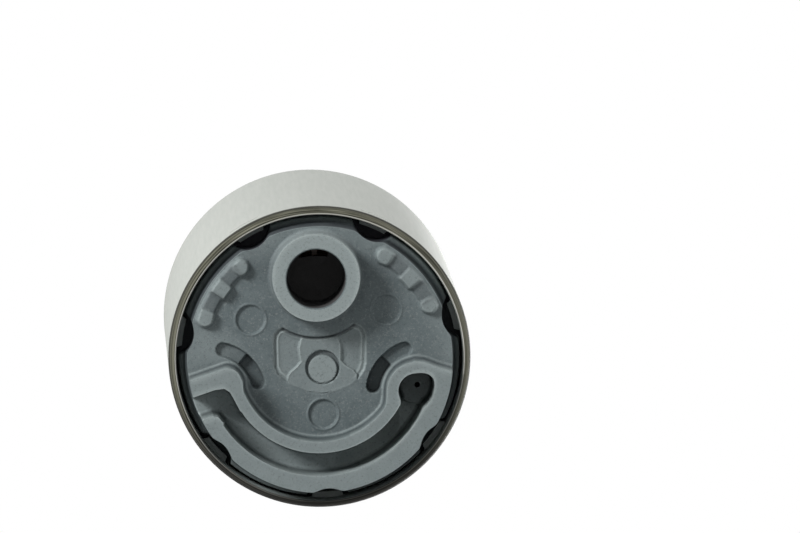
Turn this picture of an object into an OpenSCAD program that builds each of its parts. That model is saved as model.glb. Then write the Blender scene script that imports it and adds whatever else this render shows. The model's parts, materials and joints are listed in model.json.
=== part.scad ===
// In-tank turbine fuel pump, standing on its inlet end.
// Origin: on the pump's axis, in the plane of the inlet tower and gutter wall tips. +Z runs to the outlet.
// All sizes are in millimetres. The inlet cover's face is drawn as seen from outside, then turned face down.

/* [Motor can] */
// Outside radius of the steel can
can_r = 19; // [18.7:0.1:20]
// Length of the can, from its inlet edge to the rolled outlet edge
can_len = 62; // [61:0.5:70]
// Wall of the can along the magnets, where it carries the flux
can_wall = 2; // [1.8:0.1:2.2]
// Wall of the can at its two bored-out ends
can_end_wall = 1; // [0.8:0.05:1.2]
// Radial rounding of the inlet edge
can_edge_r = 0.8; // [0.4:0.1:0.8]
// Length over which the inlet edge is rounded
can_edge_len = 2.1; // [0.8:0.1:2.5]
// How far the outlet edge is rolled in over the outlet cover
roll_lip = 1.2; // [0.8:0.1:1.4]
// Thickness of the rolled edge
roll_t = 1; // [0.8:0.1:1.2]
// Depth of the stakes that hold the inlet cover, measured outside the can
stake_depth = 0.6; // [0.3:0.1:0.7]

/* [Inlet cover] */
// Width of the moat between the raised face and the can
moat_w = 1.4; // [1.2:0.1:1.8]
// How far the face stands out of the can
face_stand = 1; // [0.6:0.1:2]
// Height of the inlet tower and the gutter wall above the face
tower_h = 3.4; // [2.8:0.1:5]
// Depth of the moat round the face, from the can's edge
moat_depth = 5; // [4.6:0.1:6]
// Thickness of the flange under the moat
flange_t = 2.6; // [2.2:0.1:3.2]
// Number of scallops round the face, and of stakes in the can
scallop_count = 7; // [5:1:8]
// Depth of a scallop
scallop_depth = 0.55; // [0.3:0.05:0.8]
// Radius of a scallop
scallop_r = 3.1; // [2.6:0.1:4]
// Gap between the can and the foot of the face's sloping side
moat_foot = 0.2; // [0.15:0.05:0.8]
// Radius of the inlet bore
inlet_r = 3.7; // [3.2:0.1:3.9]
// Outside radius of the inlet tower
tower_r = 5.4; // [5.1:0.1:5.6]
// Thickness left under the inlet bore
inlet_floor = 2; // [1.8:0.1:2.4]
// Width of the gutter
gutter_w = 2.95; // [2.6:0.05:3.1]
// Thickness of the gutter's outer wall, which is also the edge of the face
gutter_edge = 2.15; // [1.9:0.05:2.4]
// Thickness of the gutter's inner wall
gutter_wall = 1.45; // [1.2:0.05:1.6]
// Depth of the gutter's flat floor below the face
gutter_floor = 1; // [0.6:0.1:1.4]
// Depth of the gutter's sump below the face
sump_depth = 4.4; // [4:0.1:4.8]
// Radius of the vent well
vent_well_r = 2.3; // [2.1:0.1:2.4]
// Depth of the vent well below the face
vent_well_depth = 3; // [2.5:0.1:3.4]
// Radius of the vapour vent
vent_r = 0.35; // [0.25:0.05:0.5]
// Height of the tall steps of the two ramps
step_high = 0.8; // [0.6:0.1:1]
// Height of the low steps of the two ramps
step_low = 0.4; // [0.2:0.1:0.5]
// Radius of the round marks in the face
mark_r = 1.8; // [1.5:0.1:2]
// Depth of the round marks in the face
mark_depth = 0.15; // [0.1:0.05:0.3]
// Depth of the panel in the middle of the face
panel_depth = 0.5; // [0.3:0.05:0.7]
// Depth of the kidney pockets at their deep end
kidney_deep = 1.3; // [0.9:0.1:1.6]
// Depth of the kidney pockets at their shallow end
kidney_shallow = 0.5; // [0.3:0.1:0.8]

/* [Pump stage] */
// Wall of the pump body round the impeller
cup_wall = 2.85; // [2.6:0.05:3.1]
// Thickness of the impeller
impeller_t = 3.8; // [3.2:0.1:4.4]
// Number of vanes in the impeller
vane_count = 37; // [29:2:43]
// Thickness of a vane
vane_t = 0.7; // [0.5:0.05:0.9]
// Width of the ring round the impeller's vanes
impeller_rim = 0.7; // [0.5:0.05:0.9]
// Width of the pumping channel
channel_w = 2.1; // [1.8:0.05:2.3]
// Depth of the pumping channel
channel_depth = 1.1; // [0.8:0.1:1.2]
// Thickness of the pump body above the impeller
body_plate = 3; // [2.6:0.1:3.6]
// Height of the bearing boss above the pump body
boss_h = 3.6; // [3:0.1:4.2]
// Wall of the bearing boss
boss_wall = 1.4; // [1:0.1:1.6]
// Outside radius of the lower bearing
bush_r = 4; // [3.6:0.1:4.2]

/* [Rotor] */
// Radius of the shaft
shaft_r = 2; // [1.7:0.1:2.2]
// Air gap between the core and the magnets
air_gap = 0.6; // [0.4:0.05:0.9]
// Length of the laminated core
core_len = 19; // [16:0.5:20]
// Number of slots in the core, and of commutator segments
slot_count = 10; // [8:1:12]
// Width of a tooth between two slots
tooth_w = 3; // [2.6:0.1:3.2]
// Height of the end turns
end_turn_h = 3; // [2.6:0.1:3.2]
// Thickness of the end insulators
insulator_t = 0.8; // [0.5:0.1:1]
// Radius of the commutator
commutator_r = 8.9; // [8.7:0.1:9.2]
// Thickness of the moulded commutator base
base_t = 2.4; // [2:0.1:3]
// Thickness of the carbon segments
segment_t = 1.8; // [1.4:0.1:2.2]

/* [Magnets] */
// Thickness of a magnet
magnet_t = 2.65; // [2.4:0.05:2.75]
// Length of a magnet
magnet_len = 28; // [24:0.5:29]
// Arc that each magnet covers, in degrees
magnet_arc = 130; // [120:1:136]
// Thickness of the spring clips between the magnets
clip_t = 0.5; // [0.4:0.05:0.7]

/* [Brushes] */
// Brush size along the radius
brush_x = 3.2; // [2.8:0.1:3.4]
// Brush size across the radius
brush_y = 4.6; // [4:0.1:5]
// Length of a new brush
brush_len = 6.2; // [5:0.1:6.6]
// Distance of a brush from the axis
brush_at = 6.4; // [6.3:0.1:6.6]
// Wall of a brush holder
holder_wall = 1.2; // [0.9:0.1:1.3]

/* [Outlet cover] */
// How far the outlet cover stands out of the can
cover_proud = 2; // [1.6:0.1:3]
// Thickness of the outlet cover's plate
plate_t = 6.4; // [6:0.1:7]
// Wall of the cover's skirt
skirt_wall = 2.4; // [2.2:0.1:2.8]
// Outside radius of the outlet spigot
spigot_r = 4; // [3.9:0.1:4.3]
// Length of the outlet spigot above its collar
spigot_len = 13; // [12:0.5:18]
// Height of the spigot's collar
collar_h = 3; // [2:0.5:4]
// Inside radius of the outlet spigot
spigot_bore = 2.9; // [2.7:0.05:3]
// Distance of the spigot from the axis
spigot_at = 10; // [9.8:0.1:10.6]
// Height of the hose bead round the spigot
bead_h = 0.5; // [0.3:0.05:0.7]
// Height of the plug socket
socket_h = 11; // [9:0.5:13]
// Inside width of the plug socket
socket_x = 14.6; // [14:0.1:15]
// Inside depth of the plug socket
socket_y = 6.2; // [6:0.1:6.6]
// Wall of the plug socket
socket_wall = 1.3; // [1:0.1:1.5]
// Width of a terminal blade
blade_w = 2.8; // [2.4:0.1:3]
// Thickness of a terminal blade
blade_t = 0.8; // [0.6:0.05:0.9]
// How far the blade tips lie below the socket's rim
blade_recess = 2; // [1:0.5:3]

/* [Valves] */
// Travel of the check valve
check_travel = 1.5; // [1:0.1:1.8]
// Radius of the relief valve's bore
relief_bore = 1.9; // [1.8:0.05:2]
// Radius of the relief ball
relief_ball_r = 1.5; // [1.4:0.05:1.55]
// Radius of the relief valve's seat hole
relief_seat_r = 1; // [0.8:0.05:1.05]

/* [Fits] */
// Clearance between pieces that are pressed, crimped or dropped into each other
fit = 0.05; // [0.03:0.01:0.08]
// Clearance round moving pieces
run = 0.1; // [0.08:0.01:0.15]
// Radial clearance of the shaft in its bearings
journal = 0.03; // [0.02:0.005:0.06]

/* [Hidden] */
$fn = 96;

// A small overshoot for cuts that pass a face
over = 0.5;
right = 0;
left = 180;

// Heights along the axis
face_z = tower_h;
can_z = face_z + face_stand;
can_top = can_z + can_len;
flange_z = can_z + moat_depth;
pump_z = flange_z + flange_t;
plate_z = pump_z + impeller_t + 2 * run;
step_z = plate_z + body_plate;
boss_z = step_z + boss_h;

// Radii inside the can
can_in_r = can_r - can_wall;
can_end_r = can_r - can_end_wall;
roll_in_r = can_end_r - roll_lip;
cover_r = can_end_r - fit;
cover_neck_r = roll_in_r - fit;
face_r = can_end_r - moat_w;
impeller_r = cover_r - cup_wall - run;
channel_out_r = impeller_r - impeller_rim;
channel_in_r = channel_out_r - channel_w;
magnet_out_r = can_in_r - fit;
magnet_in_r = magnet_out_r - magnet_t;
core_r = magnet_in_r - air_gap;

// Stakes: punched from outside down the moat, in line with the scallops
stake_w = 4;
stake_h = 0.9;
stake_lip = 0.1;
stake_in_r = can_end_r - stake_depth - stake_lip;

// Places on the face, as seen from outside: right is +X and up is +Y
gutter_out_r = face_r - gutter_edge;
gutter_in_r = gutter_out_r - gutter_w;
wall_in_r = gutter_in_r - gutter_wall;
tower_margin = 0.85;
tower_at = [-0.55, face_r - tower_r - tower_margin];
tower_root = 0.6;
gutter_from = 205;
gutter_to = 338;
wall_from = 196;
wall_to = 340;
wall_step = 0.05;
vent_well_at = [gutter_in_r + 0.5, -3.8];
vent_well_wall = 1.25;
vent_at = vent_well_at + [0.3, 0.2];
bar_at = [-11.6, -2.6];
bar_r = 1.65;
bar_turn = 19.6;
bar_len = 7;
sump_from = 2;
sump_turn = 24;
marks = [[-8.6, 4.9], [8.3, 6.2], [0.45, -7]];
mark_rim = 0.2;
mark_rim_h = 0.1;
scallop_turn = 16.4;
ramp_edge = 0.2;
ramp_w = 2.25;
ramp_out_r = face_r - ramp_edge;
ramp_in_r = ramp_out_r - ramp_w;
left_ramp = [127, 133.5, 140.5, 149, 156.5, 164.5];
right_ramp = [22.5, 29.5, 37.5, 46.5, 54.5, 62];
kidney_w = 1.65;
kidney_bulge = 0.08;
left_kidney_at = [-13.5, -4.7];
right_kidney_at = [12.7, -4.5];
left_kidney_r = 5.85;
right_kidney_r = 6.05;
left_kidney_ends = [12, 48, 84];
right_kidney_ends = [174, 138, 105];
panel_ring = 7.4;
panel_slot = 0.4;
gate_at = [0.15, -1];
gate_r = 1.8;
gate_groove = 0.35;

// The pumping channel, seen from above: it runs on from the inlet, past the vent, to the outlet port
channel_from = 74;
channel_sweep = 322;
port_sweep = 22;
port_edge = 0.15;
inlet_turn = atan2(tower_at[1], -tower_at[0]);
inlet_sweep = 17;
channel_nose = 0.2;

// The pump body and the lower bearing
boss_r = bush_r + boss_wall;
shaft_room = 0.4;
shaft_hole_r = shaft_r + shaft_room;
bush_shoulder = 0.6;
bush_z = plate_z + bush_shoulder;
rib_count = 6;
rib_h = 1.5;
rib_t = 1.4;
rib_gap = 1;

// The impeller
impeller_z = pump_z + run;
web_t = 0.5;
web_edge = 0.4;
balance_r = 0.9;
balance_at = 7;
balance_count = 5;
flat_depth = 0.5;

// The stack of the rotor
thrust_t = 1.6;
thrust_r = 3;
shaft_z = pump_z + run;
turn_gap = 0.9;
core_z = boss_z + turn_gap + end_turn_h + insulator_t;
core_top = core_z + core_len;
base_gap = 0.4;
base_z = core_top + insulator_t + end_turn_h + base_gap;
hook_t = 0.4;
segment_z = base_z + base_t + hook_t;
comm_face = segment_z + segment_t;
segment_in_r = 3.6;
segment_gap = 0.5;
hub_r = 5.4;
tooth_tip = 1.5;
slot_open = 1.3;
slot_fill_gap = 0.2;
winding_in_r = hub_r + slot_fill_gap;
winding_out_r = core_r - tooth_tip - slot_fill_gap;
insulator_edge = 0.3;
insulator_r = core_r - insulator_edge;

// Magnets lie against the can, centred on the core
magnet_z = core_z + core_len / 2 - magnet_len / 2;
clip_gap = 0.2;
clip_lip = 1.7;
clip_end = 3;

// The outlet cover hangs from the can's rolled edge and reaches down over the brushes
shoulder_z = can_top - roll_t;
cover_top = can_top + cover_proud;
comm_room = 1.6;
cover_low = comm_face + comm_room;
skirt_step = 0.4;
seat_step_z = cover_low + skirt_step;
plate_under = cover_top - plate_t;
well_roof = 2.4;
well_top = cover_top - well_roof;

// The seal lies in a groove round the skirt
seal_groove_d = 1.3;
seal_groove_w = 1.8;
seal_rise = 2;
seal_groove_z = seat_step_z + seal_rise;
seal_gap = 0.03;
seal_wire = (seal_groove_d + fit) / 2 - seal_gap;

// The upper bearing, pressed up into the cover's hub behind a clip
top_bush_r = 3.4;
top_bush_len = 4.2;
top_clip_t = 0.6;
clip_clear = 0.5;
top_bush_z = cover_low + top_clip_t;
hub_wall = 1.6;
shaft_proud = 0.4;
shaft_top = top_bush_z + top_bush_len + shaft_proud;
shaft_end = 0.3;

// Brushes, their springs and the leads inside the springs
brush_z = comm_face + fit;
brush_top = brush_z + brush_len;
brush_edge = 0.5;
spring_wire = 0.22;
spring_r = 1.15;
brush_turns = 4;
lead_wire = 0.25;
lead_slack = 0.3;
lead_end = 0.15;

// A strap joins the lead at the top of the well to the foot of the choke
strap_t = 0.6;
riser_w = 2;
riser_x = brush_at + brush_x / 2 + run;
riser_y = brush_y / 2 + run + holder_wall + fit;
choke_core_r = 1.2;
choke_wire = 0.32;
choke_turns = 8;
choke_well_r = 2.34;
choke_edge = 1.23;
choke_gap = 0.01;
choke_y = riser_y + strap_t + choke_well_r + choke_gap;
choke_from_axis = cover_r - skirt_wall - choke_edge - choke_well_r;
choke_at = [sqrt(pow(choke_from_axis, 2) - pow(choke_y, 2)), choke_y];
foot_r = 1.8;
choke_z = cover_low + strap_t;
choke_len = well_top - choke_z;

// The plug socket and its two blades
socket_at = [0, 8.7];
socket_corner = 1.2;
blade_x = 4.2;
blade_z = well_top;
blade_tip = cover_top + socket_h - blade_recess;
blade_point = 0.8;
latch_w = 4;
latch_t = 0.8;
latch_h = 1.8;
latch_drop = 5;
latch_z = cover_top + socket_h - latch_drop;

// The outlet passage and its check valve
collar_edge = 1.3;
collar_r = spigot_r + collar_edge;
spigot_z = cover_top + collar_h;
spigot_top = spigot_z + spigot_len;
bead_len = 2.4;
bead_land = 1;
bead_foot = 0.5;
bead_tip = 1;
bead_z = spigot_top - bead_len - bead_tip;
seat_r = 1.6;
seat_z = well_top;
seat_h = spigot_bore - seat_r;
seat_gap = fit * sqrt(2);
valve_gap = 0.4;
valve_r = spigot_bore - valve_gap;
valve_edge = 0.6;
valve_top = seat_z + valve_r - seat_r + seat_gap + valve_edge;
stem_r = 0.7;
stem_stop_r = 1.05;
check_cap_t = 1.6;
check_cap_rise = 2.6;
check_cap_z = spigot_z + check_cap_rise;
check_cap_step = 0.25;
check_cap_r = spigot_bore + check_cap_step;
check_cap_ring = 0.8;
guide_r = 1.3;
guide_arm = 0.8;
stem_proud = 1;
stem_top = check_cap_z + stem_proud;
check_wire = 0.22;
check_spring_r = 1.55;
check_turns = 5;

// The relief passage
relief_at = [9.5, -7.2];
relief_wall = 1.4;
relief_rise = 1;
relief_seat_z = plate_under + relief_rise;
relief_cap_t = 1;
relief_proud = 0.4;
relief_cap_z = cover_top + relief_proud;
relief_step = 0.3;
relief_cap_r = relief_bore + relief_step;
relief_top = relief_cap_z + relief_cap_t;
ball_z = relief_seat_z - relief_seat_r + (relief_ball_r + fit) * sqrt(2);
relief_wire = 0.18;
relief_turns = 4;
relief_spring_r = 1.15;
relief_seat_on_ball = sqrt(pow(relief_ball_r + relief_wire + fit, 2) - pow(relief_spring_r, 2));
relief_spring_z = ball_z + relief_seat_on_ball - relief_wire;
relief_hole_r = 0.8;

function polar(r, a) = [r * cos(a), r * sin(a)];

// A wedge of the plane from one angle to another, used to cut rings into arcs
module wedge(from, to, r) {
    polygon(concat([[0, 0]], [for (i = [0:8]) polar(r, from + (to - from) * i / 8)]));
}

// A flat arc of a ring
module arc_2d(in_r, out_r, from, to) {
    intersection() {
        difference() {
            circle(out_r);
            circle(in_r);
        }
        wedge(from, to, out_r * 1.6);
    }
}

// A solid arc of a ring, from one angle to another
module arc_bar(in_r, out_r, from, to, z, h) {
    translate([0, 0, z]) linear_extrude(h) arc_2d(in_r, out_r, from, to);
}

// A tube with square ends
module tube(out_r, in_r, h) {
    difference() {
        cylinder(r = out_r, h = h);
        translate([0, 0, -over]) cylinder(r = in_r, h = h + 2 * over);
    }
}

// A box centred on X and Y
module block(x, y, z, h) {
    translate([-x / 2, -y / 2, z]) cube([x, y, h]);
}

// A rectangle with round corners
module round_rect_2d(x, y, r) {
    square([x - 2 * r, y], center = true);
    square([x, y - 2 * r], center = true);
    for (sx = [-1, 1], sy = [-1, 1]) translate([sx * (x / 2 - r), sy * (y / 2 - r)]) circle(r);
}

// A round wire swept along a list of points, as one closed mesh
module wire(points, r, sides = 6) {
    n = len(points);
    rings = [for (i = [0:n - 1])
        let (
            a = points[max(i - 1, 0)],
            b = points[min(i + 1, n - 1)],
            t = (b - a) / norm(b - a),
            side = cross([0, 0, 1], t),
            u = norm(side) < 0.01 ? [1, 0, 0] : side / norm(side),
            v = cross(t, u)
        )
        [for (k = [0:sides - 1]) points[i] + r * (cos(360 * k / sides) * u + sin(360 * k / sides) * v)]];
    skin = [for (i = [0:n - 2], k = [0:sides - 1], half = [0, 1])
        let (
            k2 = (k + 1) % sides,
            a = i * sides,
            b = a + sides
        )
        half == 0 ? [a + k, b + k, b + k2] : [a + k, b + k2, a + k2]];
    first = [for (k = [0:sides - 1]) k];
    last = [for (k = [sides - 1:-1:0]) (n - 1) * sides + k];
    polyhedron([for (ring = rings, p = ring) p], concat(skin, [first, last]));
}

// Points of a coil round the Z axis whose first and last turns lie flat
function coil(r, z, h, turns, steps) =
    let (n = turns * steps)
    [for (i = [0:n])
        let (share = min(max((i - steps * 0.75) / (n - steps * 1.5), 0), 1))
        concat(polar(r, 360 * i / steps), [z + h * share])];

module spring(r, wire_r, z, h, turns) {
    wire(coil(r, z + wire_r, h - 2 * wire_r, turns, 14), wire_r);
}

// The can's section: bored out at both ends, its inlet edge rounded and its outlet edge rolled in
module can_profile() {
    low_edge = [for (a = [-90:10:0])
        [can_r - can_edge_r + can_edge_r * cos(a), can_z + can_edge_len + can_edge_len * sin(a)]];
    roll_edge = [for (a = [0:15:90]) [can_r - roll_t + roll_t * cos(a), can_top - roll_t + roll_t * sin(a)]];
    inside = [[roll_in_r, can_top], [roll_in_r, shoulder_z], [can_end_r, shoulder_z], [can_end_r, seat_step_z],
        [can_in_r, seat_step_z], [can_in_r, step_z], [can_end_r, step_z], [can_end_r, can_z]];
    polygon(concat(low_edge, roll_edge, inside));
}

module stake_places() {
    for (i = [0:scallop_count - 1]) rotate(180 - scallop_turn - i * 360 / scallop_count)
        translate([0, -stake_w / 2, flange_z - stake_h]) children();
}

module motor_can() color("gainsboro") difference() {
    union() {
        rotate_extrude() can_profile();
        stake_places() translate([stake_in_r, 0, 0])
            cube([can_r - can_end_wall / 2 - stake_in_r, stake_w, stake_h]);
    }
    stake_places() translate([can_r - stake_depth, 0, 0]) cube([stake_depth + over, stake_w, stake_h]);
}

// The scallops down the side of the raised face, which let the stakes reach the flange
module scallops(from) {
    for (i = [0:scallop_count - 1]) rotate(scallop_turn + i * 360 / scallop_count)
        translate([face_r - scallop_depth + scallop_r, 0, from])
            cylinder(r = scallop_r, h = tower_h + over - from);
}

// The hollow of the gutter, from its mouth in the moat round to the vent well
module gutter_2d() {
    arc_2d(gutter_in_r, gutter_out_r, gutter_from, gutter_to);
    translate(vent_well_at) circle(vent_well_r);
    polygon([[-18, -5.5], [-12.2, -3.5], [-11.2, -3.9], [-10.9, -6], [-12.5, -7.4], [-13.3, -6.95],
        [-18, -8.65]]);
}

// The gutter's walls, joined round the vent well, and the bar that closes their other end
module gutter_wall_2d() {
    intersection() {
        circle(face_r - wall_step);
        difference() {
            union() {
                arc_2d(wall_in_r, can_r, wall_from, wall_to);
                translate(vent_well_at) circle(vent_well_r + vent_well_wall);
                polygon([[11.9, -0.27], [12.9, -0.32], [18, -1.75], [18, -7], [12, -6]]);
                translate(bar_at) {
                    circle(bar_r);
                    rotate(bar_turn) translate([-bar_len, -bar_r]) square([bar_len, 2 * bar_r]);
                }
            }
            gutter_2d();
        }
    }
}

// A ramp of five steps along the edge of the face; every second one is low
module ramp(angles) {
    arc_bar(ramp_in_r, ramp_out_r, angles[0], angles[5], -over, step_low + over);
    for (i = [0, 2, 4]) arc_bar(ramp_in_r, ramp_out_r, angles[i], angles[i + 1], -over, step_high + over);
}

// A curved pocket with round ends, deep from one end to the middle and shallow from there on
module kidney(at, r, ends) {
    deep_end = ends[0];
    middle = ends[1];
    shallow_end = ends[2];
    low = min(ends);
    high = max(ends);
    translate(at) {
        arc_bar(r - kidney_w / 2, r + kidney_w / 2, low, high, -kidney_shallow, kidney_shallow + over);
        arc_bar(r - kidney_w / 2, r + kidney_w / 2, min(deep_end, middle), max(deep_end, middle), -kidney_deep,
            kidney_deep);
        translate(concat(polar(r, shallow_end), [-kidney_shallow]))
            cylinder(r = kidney_w / 2 + kidney_bulge, h = kidney_shallow + over);
        translate(concat(polar(r, deep_end), [-kidney_deep]))
            cylinder(r = kidney_w / 2 + kidney_bulge, h = kidney_deep + over);
    }
}

// The panel in the middle of the face: a shield that follows the tower, with an island left in it
module panel_2d() {
    difference() {
        polygon([[-5, 4], [-5.8, 3.3], [-5.8, -1.5], [-4.4, -2.8], [-2.6, -3.9], [0.2, -4.4], [3, -3.9],
            [4.8, -2.7], [5.7, -1.4], [5.7, 3.6], [4.9, 4.4]]);
        translate(tower_at) circle(panel_ring);
    }
}

module island_2d() {
    difference() {
        polygon([[-2.6, 5], [-2.6, -0.3], [-3.8, -1.3], [-4.2, -2.3], [-2.6, -3.6], [0.2, -4.15], [3, -3.6],
            [4.6, -2.3], [4.1, -1.3], [2.5, -0.3], [2.5, 5]]);
        translate(tower_at) circle(panel_ring + panel_slot);
    }
}

module face_cuts() {
    for (m = marks) translate(concat(m, [-mark_depth])) cylinder(r = mark_r, h = mark_depth + over);
    kidney(left_kidney_at, left_kidney_r, left_kidney_ends);
    kidney(right_kidney_at, right_kidney_r, right_kidney_ends);
    translate([0, 0, -panel_depth]) linear_extrude(panel_depth + over) difference() {
        panel_2d();
        island_2d();
    }
    translate(concat(gate_at, [-panel_depth / 2])) tube(gate_r + gate_groove, gate_r, panel_depth);
}

// The gutter's floor is flat as far as the middle, then falls to a sump beside the vent well
module gutter_cut() {
    difference() {
        translate([0, 0, -sump_depth]) linear_extrude(sump_depth + tower_h + over) gutter_2d();
        translate([-can_r, -can_r, -sump_depth - over])
            cube([can_r + sump_from, 2 * can_r, sump_depth + over - gutter_floor]);
        translate([sump_from, -can_r, -gutter_floor]) rotate([0, sump_turn, 0])
            translate([-over, 0, -2 * sump_depth]) cube([can_r, 2 * can_r, 2 * sump_depth]);
        translate(concat(vent_well_at, [-sump_depth - over]))
            cylinder(r = vent_well_r, h = sump_depth + over - vent_well_depth);
    }
}

// The face of the inlet cover as seen from outside, at height 0, with all that stands on it and is cut in it
module cast_face() {
    back = pump_z - face_z;
    bore_depth = back - inlet_floor;
    side = back - flange_t;
    difference() {
        union() {
            translate([0, 0, -back]) cylinder(r = cover_r, h = flange_t);
            difference() {
                union() {
                    translate([0, 0, -side]) cylinder(r1 = can_end_r - moat_foot, r2 = face_r, h = side);
                    translate([0, 0, -over]) linear_extrude(tower_h + over) gutter_wall_2d();
                    ramp(left_ramp);
                    ramp(right_ramp);
                }
                scallops(-side);
            }
            translate(concat(tower_at, [-over])) cylinder(r = tower_r, h = tower_h + over);
            translate(tower_at) cylinder(r1 = tower_r + tower_root, r2 = tower_r, h = tower_root);
            for (m = marks) translate(concat(m, [-over]))
                cylinder(r = mark_r + mark_rim, h = over + mark_rim_h);
        }
        face_cuts();
        gutter_cut();
        translate(concat(tower_at, [-bore_depth])) cylinder(r = inlet_r, h = bore_depth + tower_h + over);
        translate(concat(vent_at, [-back - over])) cylinder(r = vent_r, h = back);
    }
}

// One half of the pumping channel, cut into a face at height 0 that looks up
module channel_cut() {
    middle = (channel_in_r + channel_out_r) / 2;
    arc_bar(channel_in_r, channel_out_r, channel_from, channel_from + channel_sweep, -channel_depth,
        channel_depth + over);
    for (a = [channel_from, channel_from + channel_sweep]) translate(concat(polar(middle, a), [-channel_depth]))
        cylinder(r = (channel_out_r - channel_in_r) / 2 - channel_nose, h = channel_depth + over);
}

// The inlet cover: a die casting with its face outward and half of the pumping channel inside
module inlet_cover() color("lightslategray") difference() {
    rotate([0, 180, 0]) translate([0, 0, -face_z]) cast_face();
    translate([0, 0, pump_z]) channel_cut();
    translate([0, 0, pump_z - thrust_t]) cylinder(r = thrust_r + fit, h = thrust_t + over);
    // The inlet port, where the bore lies under the channel
    arc_bar(channel_in_r + port_edge, channel_out_r - port_edge, inlet_turn - inlet_sweep / 2,
        inlet_turn + inlet_sweep / 2, pump_z - inlet_floor - over, inlet_floor + 2 * over);
}

module thrust_pad() color("silver") translate([0, 0, pump_z - thrust_t]) cylinder(r = thrust_r, h = thrust_t);

// The impeller: a hub, a ring and a row of vanes between them, with a web that parts the two faces
module impeller() color("saddlebrown") translate([0, 0, impeller_z]) difference() {
    middle = impeller_t / 2;
    union() {
        cylinder(r = channel_in_r, h = impeller_t);
        tube(impeller_r, channel_out_r, impeller_t);
        rotate_extrude() polygon([[channel_in_r - over, middle - web_t - web_edge],
            [channel_in_r, middle - web_t - web_edge], [channel_out_r - web_t, middle - web_t / 2],
            [channel_out_r + web_edge, middle - web_t / 2], [channel_out_r + web_edge, middle + web_t / 2],
            [channel_out_r - web_t, middle + web_t / 2], [channel_in_r, middle + web_t + web_edge],
            [channel_in_r - over, middle + web_t + web_edge]]);
        for (i = [0:vane_count - 1]) rotate(i * 360 / vane_count)
            translate([channel_in_r - over / 2, -vane_t / 2, 0])
                cube([channel_out_r - channel_in_r + over / 2 + web_edge / 2, vane_t, impeller_t]);
    }
    difference() {
        translate([0, 0, -over]) cylinder(r = shaft_r + fit, h = impeller_t + 2 * over);
        translate([shaft_r - flat_depth + fit, -shaft_r, -2 * over])
            cube([2 * shaft_r, 2 * shaft_r, impeller_t + 4 * over]);
    }
    for (i = [0:balance_count - 1]) rotate(i * 360 / balance_count)
        translate([balance_at, 0, -over]) cylinder(r = balance_r, h = impeller_t + 2 * over);
}

// The pump body: a cup over the impeller with the other half of the channel, the port and the bearing boss
module pump_body() color("silver") difference() {
    union() {
        translate([0, 0, pump_z]) cylinder(r = cover_r, h = step_z - pump_z);
        translate([0, 0, step_z - over]) cylinder(r = boss_r, h = boss_h + over);
        for (i = [0:rib_count - 1]) rotate((i + 0.5) * 360 / rib_count)
            translate([boss_r - over, -rib_t / 2, step_z - over])
                cube([can_in_r - boss_r - rib_gap, rib_t, rib_h + over]);
    }
    translate([0, 0, pump_z - over]) cylinder(r = impeller_r + run, h = plate_z - pump_z + over);
    translate([0, 0, plate_z]) mirror([0, 0, 1]) channel_cut();
    channel_end = channel_from + channel_sweep;
    arc_bar(channel_in_r, channel_out_r, channel_end - port_sweep, channel_end, plate_z,
        body_plate + rib_h + over);
    translate([0, 0, bush_z]) cylinder(r = bush_r + fit, h = boss_z - bush_z + over);
    translate([0, 0, plate_z - over]) cylinder(r = shaft_hole_r, h = bush_shoulder + 2 * over);
}

module lower_bearing() color("peru") translate([0, 0, bush_z]) tube(bush_r, shaft_r + journal, boss_z - bush_z);

// The shaft has a drive flat where the impeller sits
module rotor_shaft() color("lightsteelblue") difference() {
    union() {
        translate([0, 0, shaft_z]) cylinder(r1 = shaft_r - shaft_end, r2 = shaft_r, h = shaft_end);
        translate([0, 0, shaft_z + shaft_end]) cylinder(r = shaft_r, h = shaft_top - shaft_z - 2 * shaft_end);
        translate([0, 0, shaft_top - shaft_end])
            cylinder(r1 = shaft_r, r2 = shaft_r - shaft_end, h = shaft_end);
    }
    translate([shaft_r - flat_depth, -shaft_r, shaft_z - over])
        cube([shaft_r, 2 * shaft_r, plate_z + bush_shoulder / 2 - shaft_z + over]);
}

// The outline of a lamination: a hub, teeth and the tips that close the slots
module lamination_2d(tip_r) {
    difference() {
        union() {
            circle(hub_r);
            for (i = [0:slot_count - 1]) rotate(i * 360 / slot_count)
                translate([0, -tooth_w / 2]) square([core_r - tooth_tip / 2, tooth_w]);
            difference() {
                circle(tip_r);
                circle(core_r - tooth_tip);
                for (i = [0:slot_count - 1]) rotate((i + 0.5) * 360 / slot_count)
                    translate([0, -slot_open / 2]) square([core_r + over, slot_open]);
            }
        }
        circle(shaft_r + fit);
    }
}

module armature_core() color("dimgray") translate([0, 0, core_z]) linear_extrude(core_len)
    lamination_2d(core_r);

module lower_insulator() color("darkgreen") translate([0, 0, core_z - insulator_t]) linear_extrude(insulator_t)
    lamination_2d(insulator_r);

module upper_insulator() color("darkgreen") translate([0, 0, core_top]) linear_extrude(insulator_t)
    lamination_2d(insulator_r);

// One ring of end turns, a rounded square in section
module end_turns(z) {
    middle = (winding_in_r + winding_out_r) / 2;
    half = (winding_out_r - winding_in_r) / 2;
    h = end_turn_h / 2;
    translate([0, 0, z]) rotate_extrude() polygon([for (a = [0:15:345])
        [middle + half * pow(abs(cos(a)), 0.6) * sign(cos(a)), h + h * pow(abs(sin(a)), 0.6) * sign(sin(a))]]);
}

// The winding fills the slots and turns over both ends of the core
module armature_winding() color("orangered") union() {
    bottom = core_z - insulator_t - end_turn_h;
    top = core_top + insulator_t;
    translate([0, 0, bottom + end_turn_h / 2]) linear_extrude(top - bottom) difference() {
        circle(winding_out_r);
        circle(winding_in_r);
        for (i = [0:slot_count - 1]) rotate(i * 360 / slot_count)
            translate([0, -tooth_w / 2 - slot_fill_gap]) square([core_r, tooth_w + 2 * slot_fill_gap]);
    }
    end_turns(bottom);
    end_turns(top);
}

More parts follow.
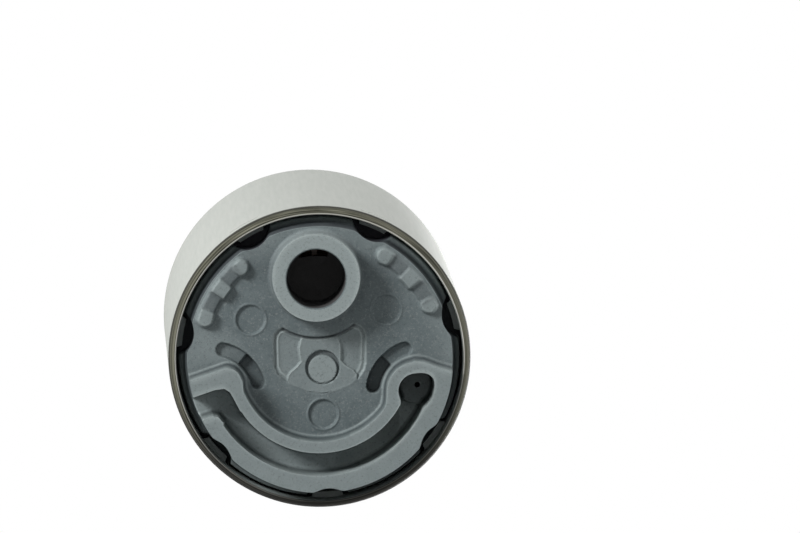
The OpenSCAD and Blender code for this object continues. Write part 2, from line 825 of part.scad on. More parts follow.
module commutator_base() color([0.25, 0.2, 0.18]) translate([0, 0, base_z])
    tube(commutator_r - hook_t, shaft_r + fit, base_t);

// A ring of the commutator, parted into segments
module segments_2d(in_r, out_r) {
    difference() {
        circle(out_r);
        circle(in_r);
        for (i = [0:slot_count - 1]) rotate((i + 0.5) * 360 / slot_count)
            translate([0, -segment_gap / 2]) square([out_r + over, segment_gap]);
    }
}

// A copper plate under each carbon segment, with a hook that takes the end of a coil
module commutator_hooks() color("sandybrown") {
    hook_w = 1.4;
    hook_out = commutator_r + hook_t;
    translate([0, 0, base_z + base_t]) linear_extrude(hook_t) segments_2d(segment_in_r, commutator_r);
    for (i = [0:slot_count - 1]) rotate(i * 360 / slot_count) {
        translate([commutator_r - over, -hook_w / 2, base_z + base_t])
            cube([hook_out - commutator_r + over, hook_w, hook_t]);
        translate([commutator_r, -hook_w / 2, base_z + base_t / 2]) cube([hook_t, hook_w, base_t / 2 + hook_t]);
    }
}

module commutator_segments() color([0.12, 0.12, 0.12]) translate([0, 0, segment_z]) linear_extrude(segment_t)
    segments_2d(segment_in_r, commutator_r);

module magnet(turn) {
    rotate(turn) arc_bar(magnet_in_r, magnet_out_r, -magnet_arc / 2, magnet_arc / 2, magnet_z, magnet_len);
}

module magnet_right() color([0.2, 0.2, 0.21]) magnet(right);

module magnet_left() color([0.2, 0.2, 0.21]) magnet(left);

// A spring clip between the magnets, bent in at both edges to press them apart
module magnet_clip(turn) {
    half = 90 - magnet_arc / 2 - clip_gap;
    bend = clip_t / magnet_out_r * 180 / PI;
    rotate(turn) {
        arc_bar(magnet_out_r - clip_t, magnet_out_r, -half, half, magnet_z + clip_end,
            magnet_len - 2 * clip_end);
        for (from = [-half, half - bend])
            arc_bar(magnet_out_r - clip_lip, magnet_out_r, from, from + bend, magnet_z + clip_end,
                magnet_len - 2 * clip_end);
    }
}

module magnet_clip_front() color("lightgray") magnet_clip(-90);

module magnet_clip_back() color("lightgray") magnet_clip(90);

// The strap: a foot under the choke, a riser beside the brush holder and an arm over the brush well
module strap(grow) {
    t = strap_t + 2 * grow;
    arm_w = lead_wire * 8;
    translate([riser_x - grow, riser_y - grow, cover_low - grow])
        cube([riser_w + 2 * grow, t, well_top + strap_t - cover_low + 2 * grow]);
    translate([0, 0, well_top - grow]) linear_extrude(t) {
        translate([brush_at - arm_w / 2 - grow, riser_y - arm_w / 2 - grow])
            square([riser_x + riser_w - brush_at + arm_w / 2 + 2 * grow, arm_w / 2 + strap_t + 2 * grow]);
        translate([brush_at - arm_w / 2 - grow, -arm_w / 2 - grow])
            square([arm_w + 2 * grow, riser_y + 2 * grow]);
    }
    translate([0, 0, cover_low - grow]) linear_extrude(t) {
        translate(choke_at) circle(foot_r + grow);
        foot_x = min(choke_at[0], riser_x);
        foot_end = max(choke_at[0], riser_x + riser_w);
        translate([riser_x - grow, riser_y - grow]) square([riser_w + 2 * grow, choke_y - riser_y]);
        translate([foot_x - grow, choke_y - riser_w / 2 - grow])
            square([foot_end - foot_x + 2 * grow, riser_w / 2]);
    }
}

// A terminal: an arm over the choke, moulded into the cover, and a blade that stands in the socket
module terminal(grow) {
    arm_y = choke_at[1] - blade_w / 2;
    tip_z = blade_tip + grow;
    translate([0, 0, blade_z - grow]) linear_extrude(blade_t + 2 * grow) {
        translate([blade_x - blade_w / 2 - grow, arm_y - grow])
            square([choke_at[0] - blade_x + blade_w + 2 * grow, blade_w + 2 * grow]);
        translate([blade_x - blade_w / 2 - grow, arm_y - grow])
            square([blade_w + 2 * grow, socket_at[1] + blade_t / 2 - arm_y + 2 * grow]);
    }
    translate([blade_x, socket_at[1] + blade_t / 2 + grow, blade_z]) rotate([90, 0, 0])
        linear_extrude(blade_t + 2 * grow) polygon([[-blade_w / 2 - grow, 0], [blade_w / 2 + grow, 0],
            [blade_w / 2 + grow, tip_z - blade_z - blade_point], [blade_w / 2 - blade_point, tip_z - blade_z],
            [blade_point - blade_w / 2, tip_z - blade_z],
            [-blade_w / 2 - grow, tip_z - blade_z - blade_point]]);
}

// What is drawn on the right is mirrored to the left
module on_left() {
    mirror([1, 0, 0]) children();
}

module both_sides() {
    children();
    on_left() children();
}

// What hangs under the cover's plate: the hub of the upper bearing, the brush holders and the relief seat
module cover_inside() {
    h = plate_under - cover_low + over;
    translate([0, 0, cover_low]) cylinder(r = top_bush_r + hub_wall, h = h);
    both_sides() translate([brush_at, 0, 0])
        block(brush_x + 2 * run + 2 * holder_wall, brush_y + 2 * run + 2 * holder_wall, cover_low, h);
}

// What stands on the cover: the plug socket, the outlet spigot and the boss of the relief valve
module cover_outside() {
    translate([0, 0, cover_top - over]) {
        translate(socket_at) linear_extrude(socket_h + over)
            round_rect_2d(socket_x + 2 * socket_wall, socket_y + 2 * socket_wall, socket_corner + socket_wall);
        translate([0, -spigot_at, 0]) cylinder(r = collar_r, h = collar_h + over);
        translate(relief_at) cylinder(r = relief_bore + relief_wall, h = relief_top - cover_top + over);
    }
    // The latch nub for the plug's clip
    translate([-latch_w / 2, socket_at[1] + socket_y / 2 + socket_wall, latch_z]) rotate([90, 0, 90])
        linear_extrude(latch_w)
            polygon([[-over, -latch_t], [0, -latch_t], [latch_t, 0], [latch_t, latch_h], [-over, latch_h]]);
    translate([0, -spigot_at, 0]) {
        translate([0, 0, spigot_z - over]) cylinder(r = spigot_r, h = spigot_len + over);
        translate([0, 0, bead_z]) cylinder(r1 = spigot_r, r2 = spigot_r + bead_h, h = bead_foot);
        translate([0, 0, bead_z + bead_foot]) cylinder(r = spigot_r + bead_h, h = bead_land);
        translate([0, 0, bead_z + bead_foot + bead_land])
            cylinder(r1 = spigot_r + bead_h, r2 = spigot_r, h = bead_len - bead_foot - bead_land);
    }
}

// The holes in the cover: bearing, brushes, chokes, straps, terminals, socket, outlet and relief passages
module cover_cuts() {
    translate([0, 0, cover_low - over])
        cylinder(r = top_bush_r + fit, h = top_bush_z + top_bush_len - cover_low + over);
    translate([0, 0, cover_low]) cylinder(r = shaft_hole_r, h = shaft_top + shaft_proud - cover_low);
    both_sides() {
        translate([brush_at, 0, 0])
            block(brush_x + 2 * run, brush_y + 2 * run, cover_low - over, well_top - cover_low + over);
        translate(concat(choke_at, [plate_under - over]))
            cylinder(r = choke_well_r, h = well_top - plate_under + over);
        strap(fit);
        terminal(fit);
    }
    translate(concat(socket_at, [cover_top])) linear_extrude(socket_h + over)
        round_rect_2d(socket_x, socket_y, socket_corner);
    translate([0, -spigot_at, 0]) {
        translate([0, 0, plate_under - over]) cylinder(r = seat_r, h = seat_z - plate_under + 2 * over);
        translate([0, 0, seat_z]) cylinder(r1 = seat_r, r2 = spigot_bore, h = seat_h);
        translate([0, 0, seat_z + seat_h]) cylinder(r = spigot_bore, h = spigot_top - seat_z);
        translate([0, 0, check_cap_z]) cylinder(r = check_cap_r, h = spigot_top - check_cap_z + over);
    }
    translate(relief_at) {
        cone_h = relief_bore - relief_seat_r;
        translate([0, 0, plate_under - over])
            cylinder(r = relief_seat_r, h = relief_seat_z - plate_under + 2 * over);
        translate([0, 0, relief_seat_z]) cylinder(r1 = relief_seat_r, r2 = relief_bore, h = cone_h);
        translate([0, 0, relief_seat_z + cone_h]) cylinder(r = relief_bore, h = relief_top - relief_seat_z);
        translate([0, 0, relief_cap_z]) cylinder(r = relief_cap_r + fit, h = relief_cap_t + over);
    }
}

// The outlet cover: one moulding with the plug socket, the outlet spigot and both valves' seats
module outlet_cover() color([0.17, 0.17, 0.18]) difference() {
    union() {
        difference() {
            union() {
                translate([0, 0, seat_step_z]) cylinder(r = cover_r, h = shoulder_z - seat_step_z);
                translate([0, 0, seat_step_z]) cylinder(r = cover_neck_r, h = cover_top - seat_step_z);
            }
            translate([0, 0, seat_step_z - over])
                cylinder(r = cover_r - skirt_wall, h = plate_under - seat_step_z + over);
            translate([0, 0, seal_groove_z]) tube(cover_r + over, cover_r - seal_groove_d, seal_groove_w);
        }
        cover_inside();
        cover_outside();
    }
    cover_cuts();
}

module cover_seal() color([0.1, 0.1, 0.1]) translate([0, 0, seal_groove_z + seal_groove_w / 2]) rotate_extrude()
    translate([cover_r - seal_groove_d + seal_gap + seal_wire, 0]) circle(seal_wire);

module upper_bearing() color("peru") translate([0, 0, top_bush_z])
    tube(top_bush_r, shaft_r + journal, top_bush_len);

module bearing_clip() color("lightgray") translate([0, 0, cover_low])
    tube(top_bush_r, shaft_r + clip_clear, top_clip_t);

// A brush: a carbon block with its two long outer edges bevelled
module brush() {
    x = brush_x / 2;
    y = brush_y / 2;
    translate([brush_at, 0, brush_z]) linear_extrude(brush_len) polygon([[-x, -y], [x - brush_edge, -y],
        [x, brush_edge - y], [x, y - brush_edge], [x - brush_edge, y], [-x, y]]);
}

module brush_right() color([0.15, 0.15, 0.15]) brush();

module brush_left() color([0.15, 0.15, 0.15]) on_left() brush();

module brush_spring() {
    translate([brush_at, 0, 0]) spring(spring_r, spring_wire, brush_top, well_top - brush_top, brush_turns);
}

module brush_spring_right() color("silver") brush_spring();

module brush_spring_left() color("silver") on_left() brush_spring();

// The flexible lead runs up inside the spring in one slack turn, and leaves both its ends upright
module brush_lead() {
    h = well_top - brush_top - 2 * lead_end;
    turn = [for (i = [0:12])
        concat(polar(lead_slack * sin(15 * i), 30 * i), [brush_top + lead_end + h * i / 12])];
    translate([brush_at, 0, 0]) wire(concat([[0, 0, brush_top]], turn, [[0, 0, well_top]]), lead_wire, 8);
}

module brush_lead_right() color("sandybrown") brush_lead();

module brush_lead_left() color("sandybrown") on_left() brush_lead();

module brush_strap_right() color("gold") strap(0);

module brush_strap_left() color("gold") on_left() strap(0);

module choke_core() {
    translate(concat(choke_at, [choke_z])) cylinder(r = choke_core_r, h = choke_len);
}

module choke_core_right() color([0.22, 0.22, 0.22]) choke_core();

module choke_core_left() color([0.22, 0.22, 0.22]) on_left() choke_core();

module choke_coil() {
    translate(choke_at) spring(choke_core_r + choke_wire + fit, choke_wire, choke_z, choke_len, choke_turns);
}

module choke_coil_right() color("orangered") choke_coil();

module choke_coil_left() color("orangered") on_left() choke_coil();

module terminal_right() color("gold") terminal(0);

module terminal_left() color("gold") on_left() terminal(0);

// The check valve: a conical head on a stem that its spring holds on the seat
module check_valve() color("ivory") translate([0, -spigot_at, 0]) {
    head_low = seat_z + seat_gap;
    translate([0, 0, head_low]) cylinder(r1 = seat_r, r2 = valve_r, h = valve_r - seat_r);
    translate([0, 0, head_low + valve_r - seat_r]) cylinder(r = valve_r, h = valve_edge);
    translate([0, 0, valve_top - over]) cylinder(r = stem_r, h = stem_top - valve_top + over);
    // The thicker foot of the stem meets the cap and stops the valve
    translate([0, 0, valve_top - over])
        cylinder(r = stem_stop_r, h = check_cap_z - check_travel - run - valve_top + over);
}

module check_spring() color("silver") translate([0, -spigot_at, 0])
    spring(check_spring_r, check_wire, valve_top, check_cap_z - valve_top, check_turns);

// The check valve's cap: a ring pressed into the spigot, with three arms that carry the stem's guide
module check_cap() color("ivory") translate([0, -spigot_at, check_cap_z]) difference() {
    union() {
        tube(check_cap_r - fit, check_cap_r - check_cap_ring, check_cap_t);
        cylinder(r = guide_r, h = check_cap_t);
        for (a = [90, 210, 330]) rotate(a) translate([0, -guide_arm / 2, 0])
            cube([check_cap_r - check_cap_ring / 2, guide_arm, check_cap_t]);
    }
    translate([0, 0, -over]) cylinder(r = stem_r + run, h = check_cap_t + 2 * over);
}

module relief_ball() color("lightsteelblue") translate(concat(relief_at, [ball_z])) sphere(relief_ball_r);

module relief_spring() color("silver") translate(relief_at)
    spring(relief_spring_r, relief_wire, relief_spring_z, relief_cap_z - relief_spring_z, relief_turns);

module relief_cap() color("gold") translate(concat(relief_at, [relief_cap_z]))
    tube(relief_cap_r, relief_hole_r, relief_cap_t);

motor_can();
inlet_cover();
thrust_pad();
impeller();
pump_body();
lower_bearing();
rotor_shaft();
armature_core();
armature_winding();
lower_insulator();
upper_insulator();
commutator_base();
commutator_hooks();
commutator_segments();
magnet_left();
magnet_right();
magnet_clip_front();
magnet_clip_back();
outlet_cover();
cover_seal();
upper_bearing();
bearing_clip();
brush_left();
brush_right();
brush_spring_left();
brush_spring_right();
brush_lead_left();
brush_lead_right();
brush_strap_left();
brush_strap_right();
choke_core_left();
choke_core_right();
choke_coil_left();
choke_coil_right();
terminal_left();
terminal_right();
check_valve();
check_spring();
check_cap();
relief_ball();
relief_spring();
relief_cap();
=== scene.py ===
"""Looks of an in-tank fuel pump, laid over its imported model: castings, mouldings, coils and finishes."""
import json
import math

import bmesh
import bpy
import numpy as np
from bpy.props import FloatProperty, FloatVectorProperty, IntProperty, PointerProperty
from mathutils import Matrix, Vector


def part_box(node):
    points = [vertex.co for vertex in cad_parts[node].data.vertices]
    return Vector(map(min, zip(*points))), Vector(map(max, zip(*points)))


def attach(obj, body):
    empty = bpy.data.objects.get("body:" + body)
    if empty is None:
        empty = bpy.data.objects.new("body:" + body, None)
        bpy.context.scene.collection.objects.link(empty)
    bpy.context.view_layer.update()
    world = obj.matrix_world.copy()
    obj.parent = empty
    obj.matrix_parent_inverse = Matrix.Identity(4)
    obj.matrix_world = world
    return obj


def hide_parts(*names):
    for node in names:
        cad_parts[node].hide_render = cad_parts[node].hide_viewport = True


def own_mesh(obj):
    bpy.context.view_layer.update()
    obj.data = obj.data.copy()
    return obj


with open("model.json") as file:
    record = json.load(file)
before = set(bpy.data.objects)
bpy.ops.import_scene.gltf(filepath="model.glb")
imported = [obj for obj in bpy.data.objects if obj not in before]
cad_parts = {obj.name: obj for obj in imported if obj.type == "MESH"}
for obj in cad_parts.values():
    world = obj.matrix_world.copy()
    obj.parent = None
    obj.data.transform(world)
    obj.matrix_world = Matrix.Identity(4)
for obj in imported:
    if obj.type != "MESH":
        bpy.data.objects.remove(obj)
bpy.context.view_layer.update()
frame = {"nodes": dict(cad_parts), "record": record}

bl_info = {
    "name": "In-Tank Fuel Pump",
    "version": (1, 0, 0),
    "blender": (4, 5, 0),
    "location": "3D View > Sidebar > Fuel Pump",
    "description": "Dresses the model of an in-tank fuel pump and sets its stage",
    "category": "Object",
}

MM = 0.001
ROOT = "housing"
FACE_Z = 3.4
PUMP_Z = 12.0


# Sizes and colours


class CastingSizes(bpy.types.PropertyGroup):
    """Sizes of the inlet casting's face, in millimetres from the pump's axis."""

    face_r: FloatProperty(name="Face radius", default=16.6, min=16.0, max=16.9)
    scallops: IntProperty(name="Scallops", default=7, min=5, max=9)
    scallop_depth: FloatProperty(name="Scallop depth", default=0.55, min=0.2, max=0.9)
    scallop_r: FloatProperty(name="Scallop radius", default=3.1, min=2.5, max=5.0)
    draft: FloatProperty(name="Draft of the face's side", default=1.2, min=0.2, max=1.25)
    tower_h: FloatProperty(name="Tower height", default=3.4, min=2.8, max=4.0)
    wall_run: FloatProperty(name="Draft of the walls", default=0.22, min=0.1, max=0.4)
    wall_foot: FloatProperty(name="Wall fillet", default=0.4, min=0.2, max=1.0)
    rings: IntProperty(name="Rings of the face", default=132, min=60, max=140)
    spokes: IntProperty(name="Spokes of the face", default=560, min=320, max=720)


class CoilSizes(bpy.types.PropertyGroup):
    """Sides and steps of the wound wires."""

    sides: IntProperty(name="Sides of a wire", default=12, min=6, max=16)
    steps: IntProperty(name="Steps in a turn", default=36, min=16, max=64)
    strand_r: FloatProperty(name="Winding wire radius", default=0.22, min=0.1, max=0.4)
    strands: IntProperty(name="Wires side by side", default=7, min=3, max=9)


class StageSettings(bpy.types.PropertyGroup):
    """The camera and the light."""

    lens: FloatProperty(name="Lens", default=577.8, min=100.0, max=900.0)
    world_light: FloatProperty(name="World light", default=0.36, min=0.0, max=2.0)
    key_power: FloatProperty(name="Key lamp", default=1.0, min=0.0, max=10.0)
    paper: FloatVectorProperty(name="Floor and backdrop", subtype="COLOR", default=(0.93, 0.93, 0.93))


# Node helpers


def material(name, roughness, metallic=0.0, specular=0.5):
    """A new material with its shader's plain values set. Returns it with its tree and shader."""
    made = bpy.data.materials.new(name)
    made.use_nodes = True
    shader = made.node_tree.nodes["Principled BSDF"]
    shader.inputs["Roughness"].default_value = roughness
    shader.inputs["Metallic"].default_value = metallic
    shader.inputs["Specular IOR Level"].default_value = specular
    return made, made.node_tree, shader


def add_node(tree, kind, inputs=None, **settings):
    """Adds a node, sets its properties, and sets or links its inputs by name or number."""
    node = tree.nodes.new(kind)
    for key, value in settings.items():
        setattr(node, key, value)
    for key, value in (inputs or {}).items():
        if isinstance(value, bpy.types.NodeSocket):
            tree.links.new(value, node.inputs[key])
        else:
            node.inputs[key].default_value = value
    return node


def coords(tree):
    return add_node(tree, "ShaderNodeTexCoord").outputs["Object"]


def noise(tree, size_mm, detail=4.0, roughness=0.5, vector=None, distortion=0.0):
    """Noise whose grains are about size_mm across."""
    return add_node(tree, "ShaderNodeTexNoise", {
        "Vector": vector or coords(tree), "Scale": 1.0 / (size_mm * MM), "Detail": detail,
        "Roughness": roughness, "Distortion": distortion}).outputs["Fac"]


def stretch(tree, scale):
    """Object coordinates with each axis scaled, for brushed and drawn marks."""
    return add_node(tree, "ShaderNodeMapping", {"Vector": coords(tree), "Scale": scale}).outputs["Vector"]


def calc(tree, operation, a, b=0.0, clamp=False):
    return add_node(tree, "ShaderNodeMath", {0: a, 1: b}, operation=operation, use_clamp=clamp).outputs[0]


def band(tree, value, low, high):
    """0 below low, 1 above high, smooth between them."""
    return add_node(tree, "ShaderNodeMapRange", {
        "Value": value, "From Min": low, "From Max": high}, interpolation_type="SMOOTHSTEP").outputs["Result"]


def ramp(tree, factor, stops):
    """A colour ramp from a list of (place, colour)."""
    node = add_node(tree, "ShaderNodeValToRGB", {"Fac": factor})
    points = node.color_ramp.elements
    while len(points) < len(stops):
        points.new(0.5)
    for point, (place, colour) in zip(points, stops):
        point.position = place
        point.color = (*colour, 1.0)
    return node.outputs["Color"]


def blend(tree, factor, a, b, mode="MIX"):
    """Mixes two colours, given as sockets or as tuples."""
    node = add_node(tree, "ShaderNodeMix", data_type="RGBA", blend_type=mode)
    for socket, value in ((0, factor), (6, a), (7, b)):
        if isinstance(value, bpy.types.NodeSocket):
            tree.links.new(value, node.inputs[socket])
        else:
            node.inputs[socket].default_value = (*value, 1.0) if isinstance(value, tuple) else value
    return node.outputs[2]


def bump(tree, height, depth_mm, normal=None):
    inputs = {"Height": height, "Distance": depth_mm * MM, "Strength": 1.0}
    if normal:
        inputs["Normal"] = normal
    return add_node(tree, "ShaderNodeBump", inputs).outputs["Normal"]


def shade(colour, factor):
    return tuple(min(channel * factor, 1.0) for channel in colour)


def mottled(name, colour, roughness, metallic=0.0, size_mm=0.6, contrast=0.15, grain_mm=0.12, depth_mm=0.01):
    """A finish of one colour with soft mottling, a fine grain and uneven gloss."""
    made, tree, shader = material(name, roughness, metallic)
    cloud = noise(tree, size_mm, 5.0, 0.6)
    colours = ramp(tree, cloud, [(0.3, shade(colour, 1 - contrast)), (0.7, shade(colour, 1 + contrast))])
    tree.links.new(colours, shader.inputs["Base Color"])
    gloss = band(tree, cloud, 0.2, 0.8)
    rough = calc(tree, "MULTIPLY_ADD", gloss, 0.12)
    tree.nodes[-1].inputs[2].default_value = roughness - 0.06
    tree.links.new(rough, shader.inputs["Roughness"])
    tree.links.new(bump(tree, noise(tree, grain_mm, 3.0), depth_mm), shader.inputs["Normal"])
    return made


# Finishes


def can_finish():
    """Matt plated steel, drawn lengthwise, with a dark, oily inlet edge whose darkness is partly a painted dark
    reflection, painted shade towards the bottom of that edge and a painted highlight along its lip.
    """
    made, tree, shader = material("Plated Can", 0.62, 0.1, 0.06)
    place = add_node(tree, "ShaderNodeSeparateXYZ", {"Vector": coords(tree)}).outputs
    draw = noise(tree, 0.5, 4.0, 0.55, stretch(tree, (1.0, 1.0, 0.05)))
    fleck = noise(tree, 0.3, 4.0, 0.7)
    plate = ramp(tree, draw, [(0.3, (0.43, 0.45, 0.42)), (0.7, (0.47, 0.485, 0.455))])
    plate = blend(tree, calc(tree, "MULTIPLY", band(tree, fleck, 0.5, 0.75), 0.25), plate, (0.55, 0.56, 0.53))
    radius = calc(tree, "SQRT", calc(tree, "ADD", calc(tree, "MULTIPLY", place[0], place[0]),
                                     calc(tree, "MULTIPLY", place[1], place[1])))
    turned = add_node(tree, "ShaderNodeCombineXYZ", {0: radius, 1: place[2], 2: calc(tree, "MULTIPLY", place[0], 0.03)})
    rings = noise(tree, 0.16, 3.0, 0.6, turned.outputs[0])
    # Painted dark reflection: the rounded inlet edge is dark olive, partly its own oily colour and partly standing in
    # for the dark surroundings that it mirrors.
    olive = ramp(tree, rings, [(0.36, (0.016, 0.016, 0.011)), (0.68, (0.178, 0.176, 0.135))])
    # Painted shade: the rounded edge darkens towards the bottom of the can.
    foot = calc(tree, "SUBTRACT", 1.0, band(tree, place[1], -0.017, -0.001))
    olive = blend(tree, calc(tree, "MULTIPLY", foot, 0.75), olive, (0.022, 0.021, 0.022))
    # The outer half of the rounded edge is darker still, as part of the painted dark reflection.
    line = calc(tree, "MULTIPLY", band(tree, place[2], 0.0050, 0.0054), 0.75)
    olive = blend(tree, line, olive, (0.012, 0.012, 0.010))
    edge = calc(tree, "SUBTRACT", 1.0, band(tree, place[2], 0.0059, 0.0066))
    colour = blend(tree, edge, plate, olive)
    tree.links.new(calc(tree, "MULTIPLY", calc(tree, "SUBTRACT", 1.0, edge), 0.12), shader.inputs["Metallic"])
    inside = calc(tree, "SUBTRACT", 1.0, band(tree, radius, 0.01800, 0.01806))
    low = calc(tree, "SUBTRACT", 1.0, band(tree, place[2], 0.012, 0.013))
    colour = blend(tree, calc(tree, "MULTIPLY", inside, low), colour, (0.36, 0.40, 0.39))
    # Painted highlight: a pale line along the crest of the lip, dimmed towards the bottom by the painted shade.
    lip = calc(tree, "MULTIPLY", band(tree, radius, 0.01806, 0.01810), calc(
        tree, "SUBTRACT", 1.0, band(tree, radius, 0.01820, 0.01824)))
    lip = calc(tree, "MULTIPLY", lip, calc(tree, "SUBTRACT", 1.0, band(tree, place[2], 0.0044, 0.0048)))
    lip = calc(tree, "MULTIPLY", lip, calc(tree, "SUBTRACT", 1.0, calc(tree, "MULTIPLY", foot, 0.85)))
    colour = blend(tree, lip, colour, (0.48, 0.48, 0.44))
    tree.links.new(colour, shader.inputs["Base Color"])
    normal = bump(tree, draw, 0.004)
    tree.links.new(bump(tree, noise(tree, 0.15, 3.0), 0.006, normal), shader.inputs["Normal"])
    return made


def casting_finish():
    """Die-cast metal: grey and grainy, paler on its edges and wall tops from wear and painted light, with painted shade
    in its hollows and inside the bore.
    """
    made, tree, shader = material("Die Cast", 0.6, 0.15, 0.22)
    # The hollow attribute carries the painted shade: darkening in recesses, in the moat and the notches, in grooves, at
    # the feet of walls and in soft patches.
    hollow = add_node(tree, "ShaderNodeAttribute", attribute_name="hollow").outputs["Fac"]
    # The second attribute carries the paler paint: worn wall tops, painted highlights on edges, and painted light on
    # the face, in the gutter and down the moat's side.
    wear_and_light = add_node(tree, "ShaderNodeAttribute", attribute_name="wear_and_light").outputs["Fac"]
    cloud = noise(tree, 2.2, 5.0, 0.6)
    place = add_node(tree, "ShaderNodeSeparateXYZ", {"Vector": coords(tree)}).outputs
    base = ramp(tree, cloud, [(0.3, (0.090, 0.113, 0.118)), (0.72, (0.132, 0.160, 0.165))])
    # Paler paint for wear and for painted light.
    base = blend(tree, calc(tree, "MULTIPLY", wear_and_light, 0.8), base, (0.35, 0.40, 0.395))
    fleck = band(tree, noise(tree, 0.32, 4.0, 0.85), 0.50, 0.70)
    base = blend(tree, calc(tree, "MULTIPLY", fleck, 0.6), base, (0.24, 0.26, 0.26))
    pit = band(tree, noise(tree, 0.36, 4.0, 0.85), 0.52, 0.70)
    base = blend(tree, calc(tree, "MULTIPLY", pit, 0.55), base, (0.052, 0.060, 0.064))
    # Colour of the painted shade, purple-grey towards the top and teal towards the bottom.
    painted_shade_colour = ramp(tree, calc(tree, "MULTIPLY_ADD", place[1], 25.0), [(0.2, (0.010, 0.017, 0.016)), (0.8, (0.018, 0.016, 0.022))])
    base = blend(tree, hollow, base, painted_shade_colour)
    # Painted shade inside the inlet bore.
    aside = calc(tree, "ADD", place[0], TOWER[0] * MM)
    over = calc(tree, "SUBTRACT", place[1], (TOWER[1] - 0.1) * MM)
    away = calc(tree, "SQRT", calc(tree, "ADD", calc(tree, "MULTIPLY", aside, aside), calc(tree, "MULTIPLY", over, over)))
    bore = calc(tree, "MULTIPLY", calc(tree, "SUBTRACT", 1.0, band(tree, away, 0.00372, 0.00378)),
                band(tree, place[2], 0.0001, 0.0008))
    base = blend(tree, bore, base, (0.06, 0.06, 0.06))
    tree.links.new(base, shader.inputs["Base Color"])
    gloss = calc(tree, "MULTIPLY_ADD", cloud, 0.25)
    tree.nodes[-1].inputs[2].default_value = 0.5
    tree.links.new(gloss, shader.inputs["Roughness"])
    normal = bump(tree, noise(tree, 0.35, 4.0, 0.65), 0.03)
    tree.links.new(bump(tree, noise(tree, 0.14, 3.0, 0.6), 0.014, normal), shader.inputs["Normal"])
    return made


def lamination_finish():
    """Stacked sheets: fine dark lines every half millimetre of height."""
    made, tree, shader = material("Laminations", 0.45, 0.8)
    height = add_node(tree, "ShaderNodeSeparateXYZ", {"Vector": coords(tree)}).outputs[2]
    phase = calc(tree, "FRACT", calc(tree, "MULTIPLY", height, 1.0 / (0.5 * MM)))
    line = calc(tree, "SUBTRACT", 1.0, band(tree, calc(tree, "ABSOLUTE", calc(tree, "SUBTRACT", phase, 0.5)), 0.04, 0.12))
    steel = ramp(tree, noise(tree, 0.8, 4.0), [(0.3, (0.20, 0.21, 0.215)), (0.7, (0.31, 0.32, 0.325))])
    tree.links.new(blend(tree, line, steel, (0.05, 0.05, 0.05)), shader.inputs["Base Color"])
    tree.links.new(bump(tree, calc(tree, "SUBTRACT", 1.0, line), 0.03), shader.inputs["Normal"])
    return made


def moulding_finish(name, colour, roughness):
    """Moulded plastic with a fine spark-eroded grain and soft flow marks."""
    made, tree, shader = material(name, roughness, 0.0, 0.45)
    flow = noise(tree, 6.0, 3.0, 0.5, distortion=1.5)
    grain = noise(tree, 0.09, 2.0, 0.6)
    colours = ramp(tree, flow, [(0.3, shade(colour, 0.85)), (0.7, shade(colour, 1.2))])
    tree.links.new(colours, shader.inputs["Base Color"])
    tree.links.new(bump(tree, grain, 0.012), shader.inputs["Normal"])
    return made


def make_finishes():
    """Every finish, by the name of the record's slot."""
    return {
        "can_steel": can_finish(),
        "cast_metal": mottled("Cast Body", (0.22, 0.235, 0.24), 0.5, 0.7, 1.2, 0.2, 0.25, 0.02),
        "shaft_steel": mottled("Ground Steel", (0.55, 0.56, 0.57), 0.25, 1.0, 0.5, 0.06, 0.1, 0.002),
        "spring_steel": mottled("Spring Steel", (0.50, 0.50, 0.49), 0.3, 1.0, 0.8, 0.1, 0.15, 0.003),
        "bronze": mottled("Sintered Bronze", (0.48, 0.28, 0.13), 0.5, 0.9, 0.3, 0.25, 0.12, 0.015),
        "brass": mottled("Tinned Brass", (0.62, 0.52, 0.32), 0.32, 1.0, 1.0, 0.1, 0.2, 0.003),
        "copper": mottled("Bare Copper", (0.62, 0.27, 0.15), 0.35, 1.0, 0.5, 0.15, 0.1, 0.004),
        "core_steel": lamination_finish(),
        "copper_winding": mottled("Enamelled Copper", (0.42, 0.12, 0.04), 0.28, 0.6, 0.8, 0.2, 0.3, 0.004),
        "insulator": moulding_finish("Insulator Moulding", (0.03, 0.16, 0.07), 0.5),
        "phenolic": moulding_finish("Phenolic Moulding", (0.075, 0.040, 0.022), 0.42),
        "carbon": mottled("Pressed Carbon", (0.022, 0.022, 0.024), 0.5, 0.1, 0.2, 0.35, 0.08, 0.01),
        "ferrite": mottled("Sintered Ferrite", (0.045, 0.045, 0.05), 0.6, 0.1, 0.4, 0.25, 0.15, 0.015),
        "black_plastic": moulding_finish("Cover Moulding", (0.022, 0.022, 0.024), 0.42),
        "white_plastic": moulding_finish("Natural Acetal", (0.72, 0.70, 0.62), 0.38),
        "seal_rubber": mottled("Seal Rubber", (0.018, 0.018, 0.018), 0.6, 0.0, 0.5, 0.2, 0.2, 0.01),
    }


FINISHES = {}


def finish_of(slot):
    if not FINISHES:
        FINISHES.update(make_finishes())
    return FINISHES[slot]


def node_slots():
    return {part["node"]: part["material_slot"] for part in frame["record"]["subparts"]}


# Mesh helpers


def add_mesh(name, points, faces, finish, smooth_angle=40.0):
    """A mesh object from points in millimetres, with its faces turned outward."""
    mesh = bpy.data.meshes.new(name)
    mesh.from_pydata([tuple(p) for p in np.asarray(points) * MM], [], faces)
    work = bmesh.new()
    work.from_mesh(mesh)
    bmesh.ops.remove_doubles(work, verts=work.verts, dist=1e-7)
    bmesh.ops.recalc_face_normals(work, faces=work.faces)
    work.to_mesh(mesh)
    work.free()
    mesh.materials.append(finish)
    made = bpy.data.objects.new(name, mesh)
    bpy.context.collection.objects.link(made)
    mesh.shade_smooth()
    mesh.set_sharp_from_angle(angle=math.radians(smooth_angle))
    return made


